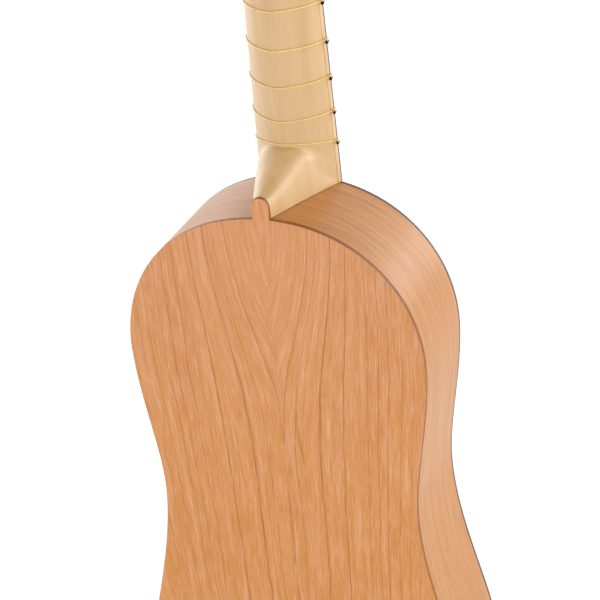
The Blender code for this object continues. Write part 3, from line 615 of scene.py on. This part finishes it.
def sweep(path, radii, sides=10, loop=False):  # rings of a round skin along a path
    path = [Vector(p) for p in path]
    count = len(path)
    rings, normal = [], None
    for i, place in enumerate(path):
        ahead = path[(i + 1) % count] if loop else path[min(i + 1, count - 1)]
        behind = path[i - 1] if loop else path[max(i - 1, 0)]
        along = (ahead - behind).normalized()
        if normal is None:
            normal = along.orthogonal()
        normal = (normal - normal.dot(along) * along).normalized()
        side = along.cross(normal)
        radius = radii[i] if isinstance(radii, (list, tuple)) else radii
        rings.append([place + radius * (x * normal + y * side) for x, y in ringOf(1, sides)])
    return rings


def settle(thing):  # the object's mesh with its modifiers or its curve worked out
    bpy.context.view_layer.update()
    seen = thing.evaluated_get(bpy.context.evaluated_depsgraph_get())
    mesh = bmesh.new()
    data = bpy.data.meshes.new_from_object(seen)
    mesh.from_mesh(data)
    name, matrix = thing.name, thing.matrix_world.copy()
    bpy.data.objects.remove(thing, do_unlink=True)
    return fromMesh(name, mesh, matrix, data)


def fromMesh(name, mesh, plane=Matrix(), data=None):
    bmesh.ops.remove_doubles(mesh, verts=mesh.verts, dist=1e-6)
    bmesh.ops.recalc_face_normals(mesh, faces=mesh.faces)
    mesh.transform(plane)
    data = data or bpy.data.meshes.new(name)
    mesh.to_mesh(data)
    mesh.free()
    return newObject(name, data)


def fromRings(name, rings, plane=Matrix()):
    return fromMesh(name, skin(bmesh.new(), rings), plane)


def plate(name, loops, low, high, rounding, plane=Matrix()):
    # a flat piece between two levels of the plane's Y, with outlines of (x, z) and softened edges
    curve = bpy.data.curves.new(name, "CURVE")
    curve.dimensions, curve.fill_mode = "2D", "BOTH"
    curve.extrude = (high - low) / 2 - rounding
    curve.bevel_depth, curve.bevel_resolution, curve.offset = rounding, 2, -rounding
    for loop in loops:
        spline = curve.splines.new("POLY")
        spline.points.add(len(loop) - 1)
        for point, (x, z) in zip(spline.points, loop):
            point.co = (x, z, 0, 1)
        spline.use_cyclic_u = True
    thing = newObject(name, curve)
    place = Matrix.Translation((0, (low + high) / 2, 0)) @ Matrix.Rotation(pi / 2, 4, "X")
    thing.matrix_world = plane @ place
    return settle(thing)


def carve(thing, tool):
    step = thing.modifiers.new("carve", "BOOLEAN")
    step.operation, step.object, step.solver = "DIFFERENCE", tool, "EXACT"
    thing = settle(thing)
    bpy.data.objects.remove(tool, do_unlink=True)
    return thing


def joined(name, *things):
    mesh = bmesh.new()
    for thing in things:
        mesh.from_mesh(thing.data)
        bpy.data.objects.remove(thing, do_unlink=True)
    return fromMesh(name, mesh)


def dress(thing, finishes, *nodes, rider="root", sharp=35):
    finishes = finishes if isinstance(finishes, (list, tuple)) else [finishes]
    for finish in finishes:
        thing.data.materials.append(finish.material)
    thing.data.shade_smooth()
    thing.data.set_sharp_from_angle(angle=radians(sharp))
    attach(thing, rider)
    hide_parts(*nodes)


# Body

rose = {
    "at": 0.118,
    "radius": 0.031,
    "ring": 0.0028,
    "ledge": 0.0036,
    "thickness": 0.0012,
    "rounding": 0.0003,
    "checks": 18,  # light and dark fields of its ring, as they follow each other over a radian
    "fold": 12,
    # openings, in shares of the radius: a leaf's two ends and half width, a dot's place and radius
    "innerLeaf": (0.07, 0.34, 0.07),
    "longLeaf": (0.50, 0.83, 0.075),
    "slimLeaf": (0.56, 0.78, 0.04),
    "dot": (0.44, 0.07),
    "rimDot": (0.90, 0.045),
    "rimSpread": 2.2,
}


def frontOutline(inset):
    return [(p.x, p.y / cos(body["taper"])) for p in bothSides(outlineRun(0, 4, inset))]


def frontInner(z):
    return body["depth"] - tan(body["taper"]) * z - body["soundboard"] / cos(body["taper"])


def makeBack():
    half = body["buttonHalf"]
    edge = bisect(lambda u: outlinePoint(u).x > half, 0, 1)
    centre = body["buttonHeight"] - half
    angles = [radians(90 - 6 * i) for i in range(16)]
    button = [Vector((half * cos(a), centre + half * sin(a))) for a in angles]
    loop = bothSides(button + outlineRun(edge, 4))
    thing = plate("bookmatchedBack", [loop], 0, body["back"], body["backRounding"])
    dress(thing, cherryBack(), "back")


def makeRibs():
    inner = body["rib"]
    start = bisect(lambda u: outlinePoint(u, inner).x > fit / 2, 0, 1)
    reach = body["tailStripHalf"] + fit
    end = bisect(lambda u: outlinePoint(u, inner).x < reach, 3, 4)
    low, wood = body["back"] + fit, cherryRib()
    for node, side in (("rib_treble", -1), ("rib_bass", 1)):
        rings = []
        for p, q in zip(outlineRun(start, end), outlineRun(start, end, inner)):
            rings.append([
                (side * p.x, low, p.y), (side * p.x, frontInner(p.y) - fit, p.y),
                (side * q.x, frontInner(q.y) - fit, q.y), (side * q.x, low, q.y),
            ])
        dress(fromRings("bent_" + node, rings), wood, node)


def makeFront():
    low, rounding, edge = -body["soundboard"], body["frontRounding"], body["edging"]
    whole, inside, board = [frontOutline(inset) for inset in (0, edge, edge + fit)]
    inner, outer = rose["radius"], rose["radius"] + rose["ring"]
    hole, *ring = [ringOf(size, 96, (0, -rose["at"])) for size in (outer + fit, outer, inner)]
    edging = plate("soundboardEdging", [whole, inside], low, 0, body["edgingRounding"], frontPlane)
    dress(edging, darkWood(), "soundboard_edging")
    top = plate("spruceTop", [board, hole], low, 0, rounding, frontPlane)
    dress(top, spruceBoard(), "soundboard")
    inlay = plate("inlaidRing", ring, low, 0, rounding, frontPlane)
    dress(inlay, roseRing(), "rose_ring")


def leaf(kind, angle, steps=12):
    inner, outer, halfWidth = [share * rose["radius"] for share in rose[kind]]
    side = []
    for i in range(steps + 1):
        t = i / steps
        side.append((inner + (outer - inner) * t, halfWidth * sin(pi * t)))
    loop = side + [(x, -y) for x, y in side[-2:0:-1]]
    c, s = cos(angle), sin(angle)
    return [(x * c - y * s, x * s + y * c - rose["at"]) for x, y in loop]


def dot(kind, turn, sides):
    away, size = [share * rose["radius"] for share in rose[kind]]
    return ringOf(size, sides, (away * cos(turn), away * sin(turn) - rose["at"]))


def makeRose():
    fold = rose["fold"]
    loops = [ringOf(rose["radius"] + rose["ring"] + rose["ledge"], 96, (0, -rose["at"]))]
    loops += [leaf("innerLeaf", i * pi / 3) for i in range(fold // 2)]
    for i in range(fold):
        turn = 2 * pi * i / fold
        spread = pi / fold / rose["rimSpread"]
        loops += [dot("dot", turn, 24), leaf("longLeaf", turn + pi / fold)]
        loops += [dot("rimDot", rim, 18) for rim in (turn - spread, turn + spread)]
        loops.append(leaf("slimLeaf", turn, 8))
    top = -body["soundboard"] - fit
    thing = plate("piercedRose", loops, top - rose["thickness"], top, rose["rounding"], frontPlane)
    dress(thing, pearwood(), "rose")


makeBack()
makeRibs()
makeFront()
makeRose()
print("body ready")


# Neck and fingerboard

def alongNeck(z, ends):
    return ends[0] + (ends[1] - ends[0]) * z / neck["nutAt"]


def neckHalf(z):
    return alongNeck(z, neck["half"])


def neckDepth(z):
    return alongNeck(z, neck["deep"])


def shaftHalf(s, z):
    share = min(s / neckDepth(z), 1)
    return neckHalf(z) * (1 - share ** neck["roundness"]) ** (1 / neck["roundness"])


def heelFloor(z):
    return (body["depth"] - body["back"] - fit - z * sin(body["taper"])) / cos(body["taper"])


def heelRidge(s):
    start, top = neckDepth(neck["heelStart"]), body["buttonHeight"]
    if s < start:
        return neck["heelStart"] + neck["heelSlant"] * s
    high = neck["heelStart"] + neck["heelSlant"] * start
    t = min((s - start) / (heelFloor(0) - start), 1)
    return top + (high - top) * (1 - t) ** neck["heelHollow"]


def outside(x, half, y, height, roundness):
    size = max(((x / half) ** roundness + (y / height) ** roundness) ** (1 / roundness), 1e-3)
    across = x ** (roundness - 1) / half ** roundness
    along = y ** (roundness - 1) / height ** roundness
    return (size - 1) / max(hypot(across, along) * size ** (1 - roundness), 1)


def outsideHeel(x, s, z):
    t = min(max((s - neckTop) / (heelFloor(0) - neckTop), 0), 1)
    edge, half = shaftHalf(neckTop, 0), body["buttonHalf"]
    narrowing = neck["heelNarrowing"] * (1 - t) * min(z / heelRidge(s), 1)
    flank = (edge + (half - edge) * t) * (1 - narrowing)
    nose = neck["heelNose"] + (half - neck["heelNose"]) * t
    roundness = neck["heelRoundness"] + (2 - neck["heelRoundness"]) * t
    return outside(x, flank, max(z - heelRidge(s) + nose, 0), nose, roundness)


def outsideNeck(x, s, z):
    shaft = outside(x, neckHalf(z), s, neckDepth(z), neck["roundness"])
    heel = outsideHeel(x, s, z)
    cove = neck["cove"] * eased(x / neck["coveReach"]) * eased(z / neck["coveReach"])
    if cove == 0:
        return min(shaft, heel)
    shared = max(cove - abs(shaft - heel), 0) / cove
    return min(shaft, heel) - shared ** 2 * cove / 4


def neckLevels():  # height, depth of the ridge and half width of the foot
    half = body["buttonHalf"]
    centre = body["buttonHeight"] - half
    below, rounding, ridge, shaft = neck["cuts"]
    levels = [(-neck["overlap"], heelFloor(-neck["overlap"]), half)]
    levels += [(z, heelFloor(z), half) for z in (centre * i / below for i in range(below))]
    for i in range(rounding):
        a = radians(90 * i / rounding)
        z = centre + half * sin(a)
        levels.append((z, heelFloor(z), half * cos(a)))
    start = neckDepth(neck["heelStart"])
    for i in reversed(range(ridge)):
        s = start + (heelFloor(0) - start) * i / ridge
        levels.append((heelRidge(s), s, 0.0))
    low = heelRidge(start)
    for i in range(1, shaft + 1):
        z = low + (neckEnd - low) * (i / shaft) ** neck["crowding"]
        levels.append((z, neckDepth(z), 0.0))
    return levels


def bodySpace():  # the body's outline with its clearance, well past the back and the front
    loop = bothSides(outlineRun(0, 4, -fit))
    return plate("bodySpace", [loop], -0.03, 2 * body["depth"], 0.0)


def makeNeck():
    rays, rounds = 36, 26
    rings = []
    for z, deepest, foot in neckLevels():
        end = atan2(deepest - neckTop, foot)
        side = []
        for k in range(rays):
            c, d = cos(end * k / rays), sin(end * k / rays)
            reach = bisect(
                lambda r: outsideNeck(r * c, neckTop + r * d, max(z, 0)) > 0,
                0, 1.1 * deepest, rounds,
            )
            side.append((reach * c, -neckTop - reach * d, z))
        side.append((foot, -deepest, z))
        rings.append(mirrored(side))
    thing = carve(fromRings("carvedNeck", rings, frontPlane), bodySpace())
    dress(thing, maple(), "neck", sharp=40)


def makeFingerboard():
    steps = 10
    rings = []
    for z in (-neck["overlap"], neck["nutAt"] - fit):
        depths = [neck["fingerboard"] * k / steps for k in range(steps + 1)]
        side = [(shaftHalf(s, z), -s, z) for s in depths]
        rings.append(mirrored(side))
    thing = carve(fromRings("darkFingerboard", rings, frontPlane), bodySpace())
    dress(thing, boardWood(), "fingerboard")


makeNeck()
makeFingerboard()
print("neck ready")


# Tied frets

fret = {
    "scale": 0.550,
    "bridgeAt": 0.2866,
    "count": 10,
    "diameters": (0.0009, 0.00065),  # first and last
    "clearance": 0.00012,
    "lastLean": 0.244,  # the last fret lies higher behind, where the heel starts
    "knotRadius": 0.0010,
    "knotDepth": 0.0026,
    "knotLean": radians(-12),
    "knotTurns": 2,
    "knotRise": 0.55,  # how far its turns reach to either side, in shares of its radius
    "knotCore": ((0.9, 0.3), (0.8, 0.7), (0.3, 0.8), (-0.3, 0.8), (-0.9, 0.6)),  # height, radius
    "beads": ((-0.8, 0.0022), (0.5, 0.0018)),  # which way a burnt end turns, and how far it reaches
    # a burnt end: share of its reach, then its radius against the strand's
    "beadShape": ((0, 1), (0.3, 1), (0.45, 1.8), (0.65, 2.6), (0.85, 2.2), (1.0, 0.6)),
}


def fretLoop(z, clear, lean, steps=60):
    half, depth, bend = neckHalf(z), neckDepth(z), neck["roundness"] - 1
    corner = [radians(90 - 10 * i) for i in range(9)]
    loop = [(half + clear * cos(a), clear * sin(a)) for a in corner]
    power = 2 / neck["roundness"]
    for k in range(steps + 1):
        a = pi * k / steps
        c, s = cos(a), sin(a)
        x = copysign(half * abs(c) ** power, c)
        y = -depth * s ** power
        across = copysign(abs(x / half) ** bend / half, x)
        slope = Vector((across, -abs(y / depth) ** bend / depth)).normalized()
        loop.append((x + clear * slope.x, y + clear * slope.y))
    loop += [(-x, y) for x, y in reversed(loop[:9])]
    return [(x, y, z - lean * y) for x, y in loop]


def makeFrets():
    strand, char = gut(), burntGut()
    for number in range(1, fret["count"] + 1):
        first, last = fret["diameters"]
        diameter = first + (last - first) * (number - 1) / (fret["count"] - 1)
        z = fret["scale"] * 2 ** (-number / 12) - fret["bridgeAt"]
        lean = fret["lastLean"] if number == fret["count"] else 0
        loop = fretLoop(z, fret["clearance"] + diameter / 2, lean)
        mesh = skin(bmesh.new(), sweep(loop, diameter / 2, 12, True), loop=True)
        addKnot(mesh, z + lean * fret["knotDepth"], diameter / 2)
        thing = fromMesh(f"gutFret{number}", mesh, frontPlane)
        dress(thing, [strand, char], f"fret_{number}", rider=f"fret_{number}")


def addKnot(mesh, z, thin):
    # turns of gut drawn tight round the fret, with both ends burnt to black beads
    wide, turn = fret["knotRadius"], 16
    steps, rise = fret["knotTurns"] * turn, fret["knotRise"] * wide
    lean = Matrix.Rotation(fret["knotLean"], 4, "Y")
    place = Vector((shaftHalf(fret["knotDepth"], z) + fit + wide, -fret["knotDepth"], z))
    path = []
    for i in range(steps + 1):
        a = 2 * pi * i / turn
        height = rise - 2 * rise * i / steps
        coil = Vector(((wide - thin) * cos(a), (wide - thin) * sin(a), height))
        path.append(place + lean @ coil)
    skin(mesh, sweep(path, thin, 8))
    core = [place + lean @ Vector((0, 0, high * wide)) for high, _ in fret["knotCore"]]
    skin(mesh, sweep(core, [share * wide for _, share in fret["knotCore"]], 12))
    for side, reach in fret["beads"]:
        end = place + lean @ Vector((0, -0.5 * wide, 0))
        path = [end + reach * share * Vector((0.4, side, -0.5)) for share, _ in fret["beadShape"]]
        skin(mesh, sweep(path, [size * thin for _, size in fret["beadShape"]], 12), paint=1)


makeFrets()
print("frets ready")


# Nut, bridge and strings

strings = {
    "diameters": (0.00050, 0.00058, 0.00058, 0.00072, 0.00072, 0.00095, 0.00060),
    "courses": (1, 2, 2, 2),  # strings in each, from the treble side
    "courseSpacing": (0.0100, 0.0148),  # at the nut, at the bridge
    "pairSpacing": (0.0034, 0.0044),
    "heights": (0.0021, 0.0052),
    "aboveHead": 0.0016,
    "tail": 0.002,
    "turns": 4,
    "turnGap": 0.00045,
    "halfTurnsBelow": 1.1,  # round the peg, below the wound turns
    "steps": 24,  # to a turn
}

nut = {
    "top": 0.0024,
    "rounding": 0.0005,
    "cutterRun": 0.004,  # how far the grooves' cutters go past it
}

bridge = {
    "half": 0.041,
    "width": 0.013,
    "height": 0.0085,
    "bevel": 0.0016,
    "foot": 0.003,
    "rounding": 0.0005,
    "blockRounding": 0.0004,
    "sunk": 0.001,  # the block starts this high inside the foot, and clear of its faces
    "clear": 0.00005,
    "wing": 0.022,
    # a wing's outline: share of its reach, then share of the bridge's half width
    "wingShape": (
        (0.00, 1.00), (0.12, 0.55), (0.40, 0.36), (0.70, 0.62), (1.00, 1.25),
        (0.94, 0.35), (0.72, -0.26), (0.45, -0.52), (0.15, -0.62), (0.00, -1.00),
    ),
}


def stringPlaces(end):
    courses, gap = strings["courses"], strings["pairSpacing"][end]
    places = []
    for row, count in enumerate(courses):
        centre = (row - (len(courses) - 1) / 2) * strings["courseSpacing"][end]
        places += [centre + (k - (count - 1) / 2) * gap for k in range(count)]
    return places


def rods(name, ends, plane, sides=24):  # round cutters, each from one point to another
    mesh = bmesh.new()
    for start, end, radius in ends:
        skin(mesh, sweep([start, end], radius, sides))
    return fromMesh(name, mesh, plane)


def stringHoles(name, end, start, stop):
    high, rows = strings["heights"][end], []
    for x, diameter in zip(stringPlaces(end), strings["diameters"]):
        rows.append(((x, high, start), (x, high, stop), diameter / 2 + fit))
    return rods(name, rows, frontPlane)


def softBox(rings, plane, name, rounding):
    mesh = skin(bmesh.new(), rings)
    bmesh.ops.recalc_face_normals(mesh, faces=mesh.faces)
    bmesh.ops.bevel(
        mesh, geom=list(mesh.edges), offset=rounding, segments=3, profile=0.5, affect="EDGES",
    )
    return fromMesh(name, mesh, plane)


def makeNut():
    foot, top, run = -neck["fingerboard"], nut["top"], nut["cutterRun"]
    half = shaftHalf(neck["fingerboard"], neckEnd)
    face = neckHalf(neckEnd)
    corners = ((-half, foot), (half, foot), (face, top), (-face, top))
    rings = [[(x, y, z) for x, y in corners] for z in (neck["nutAt"], neckEnd)]
    block = softBox(rings, frontPlane, "boneNut", nut["rounding"])
    grooves = stringHoles("nutGrooves", 0, neck["nutAt"] - run, neckEnd + run)
    dress(carve(block, grooves), bone(), "nut")


def smoothed(points, times=3):  # corner cutting that keeps a curve's run and its ends
    for _ in range(times):
        cut = []
        for (ax, ay), (bx, by) in zip(points, points[1:]):
            for share in (0.75, 0.25):
                cut.append((share * ax + (1 - share) * bx, share * ay + (1 - share) * by))
        points = [points[0], *cut, points[-1]]
    return points


def makeBridge():
    half = bridge["width"] / 2
    centre = -fret["bridgeAt"] - half
    reach, wing = bridge["half"], bridge["wing"]
    upper, lower = smoothed(bridge["wingShape"][:5]), smoothed(bridge["wingShape"][4:])
    side = [(reach + wing * x, centre + half * y) for x, y in upper + lower[1:]]
    high = fit + bridge["foot"]
    foot = plate("foot", [mirrored(side)], fit, high, bridge["rounding"], frontPlane)
    shoulder, slim = bridge["height"] - bridge["bevel"], half - bridge["clear"]
    top = half - bridge["bevel"], bridge["height"]
    profile = mirrored([(slim, bridge["sunk"]), (slim, shoulder), top])
    rings = [[(x, fit + y, centre + z) for z, y in profile] for x in (-reach, reach)]
    block = softBox(rings, frontPlane, "block", bridge["blockRounding"])
    width = bridge["width"]
    block = carve(block, stringHoles("bridgeHoles", 1, centre - width, centre + width))
    dress(joined("lowBridge", foot, block), pearwood(), "bridge")


makeNut()
makeBridge()
print("nut and bridge ready")


# Peghead, pegs and strings

head = {
    "drop": 0.001,  # below the fingerboard's face
    "tilt": radians(7),
    "thickness": 0.010,
    "squareness": 9,
    "throat": 0.024,
    "half": (0.026, 0.0285),  # above the throat, at the shoulder
    "shoulderAt": 0.099,
    "crownAt": 0.117,
    "crownRadius": 0.0145,
    "pegRowHalf": 0.0195,
    "pegRowsAt": (0.027, 0.057, 0.087),
}

peg = {
    "frontRadius": 0.0031,
    "backRadius": 0.0037,
    "reach": 0.0125,
    "collar": 0.0054,
    "collarLength": 0.0026,
    # its softened edges: way down, then way in
    "collarTop": ((0.0, 0.0003), (0.0002, 0.0)),
    "collarFoot": ((0.0, 0.0002), (0.0001, 0.00054)),
    "bead": 0.0004,
    "stem": 0.0016,
    "stemTop": 0.0004,
    "stemWidths": (0.8, 0.72),  # shares of the shank's radius
    "thumbHalf": 0.0090,
    "thumbThickness": 0.0062,
    "thumbLength": 0.0150,
    "holeGap": 0.0004,
    # the tip: way down from its end, then share of its radius
    "tipShape": ((0.0, 0.6), (0.0003, 0.86), (0.0008, 1.0)),
    # the thumb: share of its length, then shares of its half width and of its half thickness
    "thumbShape": (
        (0.12, 0.62, 0.90), (0.32, 0.95, 1.00), (0.55, 1.00, 0.90),
        (0.78, 0.82, 0.75), (0.93, 0.42, 0.55), (1.00, 0.16, 0.30),
    ),
}

headPlane = frontPlane @ Matrix.Translation((0, -head["drop"], neckEnd + fit))
headPlane = headPlane @ Matrix.Rotation(head["tilt"], 4, "X")


def headMarks():
    return [head[name] for name in ("throat", "shoulderAt", "crownAt", "crownRadius")]


def headHalf(v):
    low, high = head["half"]
    throat, shoulder, crown, top = headMarks()
    if v < shoulder:
        start = neckHalf(neckEnd)
        narrow = start + (low - start) * eased(v / throat)
        return narrow + (high - low) * max((v - throat) / (shoulder - throat), 0)
    if v < crown:
        return high + (top - high) * eased((v - shoulder) / (crown - shoulder))
    return sqrt(max(0, top ** 2 - (v - crown) ** 2))


def headLevels():
    throat, shoulder, crown, top = headMarks()
    levels = []
    for low, high, cuts in ((0, throat, 20), (throat, shoulder, 8), (shoulder, crown, 20)):
        levels += [low + (high - low) * i / cuts for i in range(cuts)]
    return levels + [crown + top * sin(radians(4 * i)) for i in range(22)]


def makePeghead():
    steps = 48
    rings = []
    rootDepth = neckDepth(neckEnd) - head["drop"]
    for v in headLevels():
        t = min(v / head["throat"], 1)
        depth = rootDepth + (head["thickness"] - rootDepth) * sqrt(eased(t))
        power = 2 / (neck["roundness"] + (head["squareness"] - neck["roundness"]) * eased(t))
        ring = []
        for k in range(steps + 1):
            a = pi * k / steps
            c, s = cos(a), sin(a)
            x = copysign(headHalf(v) * abs(c) ** power, c)
            y = -depth * abs(s) ** power
            ring.append((x, y, v - y * tan(head["tilt"]) * max(0, 1 - t)))
        rings.append(ring)
    radius = peg["backRadius"] + peg["holeGap"]
    reach = head["thickness"]
    holes = [((x, -2 * reach, v), (x, reach, v), radius) for x, v in pegPlaces]
    cutters = rods("pegHoles", holes, headPlane, 36)
    thing = carve(fromRings("maplePeghead", rings, headPlane), cutters)
    dress(thing, maple(), "peghead", sharp=40)


def onward(p, q, r, s, t):  # from q to r, on a curve that comes from p and goes on to s
    bend, twist = 2 * p - 5 * q + 4 * r - s, 3 * q - p - 3 * r + s
    return 0.5 * (2 * q + (r - p) * t + bend * t * t + twist * t ** 3)


def between(rows, steps=5):  # rows run through by a smooth curve
    smooth = []
    for i in range(len(rows) - 1):
        around = rows[max(i - 1, 0)], rows[i], rows[i + 1], rows[min(i + 2, len(rows) - 1)]
        for k in range(steps):
            smooth.append(tuple(onward(*values, k / steps) for values in zip(*around)))
    return smooth + [rows[-1]]


def pegRows():
    back = -head["thickness"] - fit
    below = back - peg["collarLength"]
    thumb = below - peg["stem"]
    front, wide, collar = peg["frontRadius"], peg["backRadius"], peg["collar"]
    tip = [(peg["reach"] - down, share * front) for down, share in peg["tipShape"]]
    shank = [(0.0, front), (back + fit / 2, wide)]
    beads = [(back - down, collar - way) for down, way in peg["collarTop"]]
    beads += [
        (back - peg["collarLength"] * i / 12, collar + peg["bead"] * sin(pi * i / 12))
        for i in range(1, 12)
    ]
    beads += [(below - down, collar - way) for down, way in peg["collarFoot"]]
    turned = [(h, r, r) for h, r in tip + shank + beads]
    high, low = [share * wide for share in peg["stemWidths"]]
    blade = [(below - peg["stemTop"], high, high), (thumb, low, low)]
    length, broad, thick = peg["thumbLength"], peg["thumbHalf"], peg["thumbThickness"] / 2
    for share, half, thin in peg["thumbShape"]:
        blade.append((thumb - length * share, broad * half, thick * thin))
    return turned + between(blade)


def makePegs():
    wood = boxwood()
    for number, (x, v) in enumerate(pegPlaces, 1):
        rings = [
            [(x + wide * c, distance, v + deep * s) for c, s in ringOf(1, 36)]
            for distance, wide, deep in pegRows()
        ]
        thing = fromRings(f"turnedPeg{number}", rings, headPlane)
        dress(thing, wood, f"peg_{number}", rider=f"peg_{number}", sharp=40)


def woundRadius(diameter):
    return peg["frontRadius"] + fit + diameter / 2


def makeStrings():
    strand = gut()
    tail = -fret["bridgeAt"] - bridge["width"] - strings["tail"]
    (low, high), steps = strings["heights"], strings["steps"]
    toHead = headPlane.inverted() @ frontPlane
    rows = zip(pegPlaces, stringPlaces(0), stringPlaces(1), strings["diameters"])
    for number, ((pegX, pegV), nutX, bridgeX, diameter) in enumerate(rows, 1):
        points = [Vector((bridgeX, high, tail)), Vector((bridgeX, high, -fret["bridgeAt"]))]
        points += [Vector((nutX, low, neck["nutAt"])), Vector((nutX, low, neckEnd))]
        radius = woundRadius(diameter)
        inner = 1 if nutX > pegX else -1
        start = toHead @ points[-1]
        dx, dv = pegX - start.x, pegV - start.z
        heading = atan2(dv, dx) - inner * asin(radius / hypot(dx, dv))
        touch = heading - inner * pi / 2
        centre = Vector((pegX, strings["aboveHead"], pegV))
        for i in range(steps + 1):
            a = touch + inner * pi * strings["halfTurnsBelow"] * i / steps
            wrap = centre + radius * Vector((cos(a), 0, sin(a)))
            points.append(toHead.inverted() @ wrap)
        thing = fromRings(f"gutString{number}", sweep(points, diameter / 2), frontPlane)
        dress(thing, strand, f"string_{number}")
        makeWinding(number, strand, touch, inner)


def makeWinding(number, strand, touch, inner):
    x, v = pegPlaces[number - 1]
    diameter = strings["diameters"][number - 1]
    radius, first = woundRadius(diameter), strings["aboveHead"] + diameter + fit
    pitch, steps = diameter + strings["turnGap"], strings["steps"]
    points = []
    for i in range(strings["turns"] * steps + 1):
        a = touch + inner * 2 * pi * i / steps
        points.append((x + radius * cos(a), first + pitch * i / steps, v + radius * sin(a)))
    thing = fromRings(f"stringWinding{number}", sweep(points, diameter / 2), headPlane)
    dress(thing, strand, f"string_winding_{number}", rider=f"peg_{number}")


trebleRow = [(-head["pegRowHalf"], v) for v in head["pegRowsAt"]]
bassRow = [(head["pegRowHalf"], v) for v in reversed(head["pegRowsAt"])]
pegPlaces = [*trebleRow, (0.0, head["crownAt"]), *bassRow]
makePeghead()
makePegs()
makeStrings()
print("peghead, pegs and strings ready")


# What lies inside the body, and the strip at its tail, keep their solids

def paintInside():
    plain = spruceInner()
    for name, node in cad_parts.items():
        if name.endswith("_block") or "_lining_" in name or "_bar_" in name:
            node.data.materials[0] = plain.material
    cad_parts["tail_strip"].data.materials[0] = darkWood().material


paintInside()
print("inside ready")
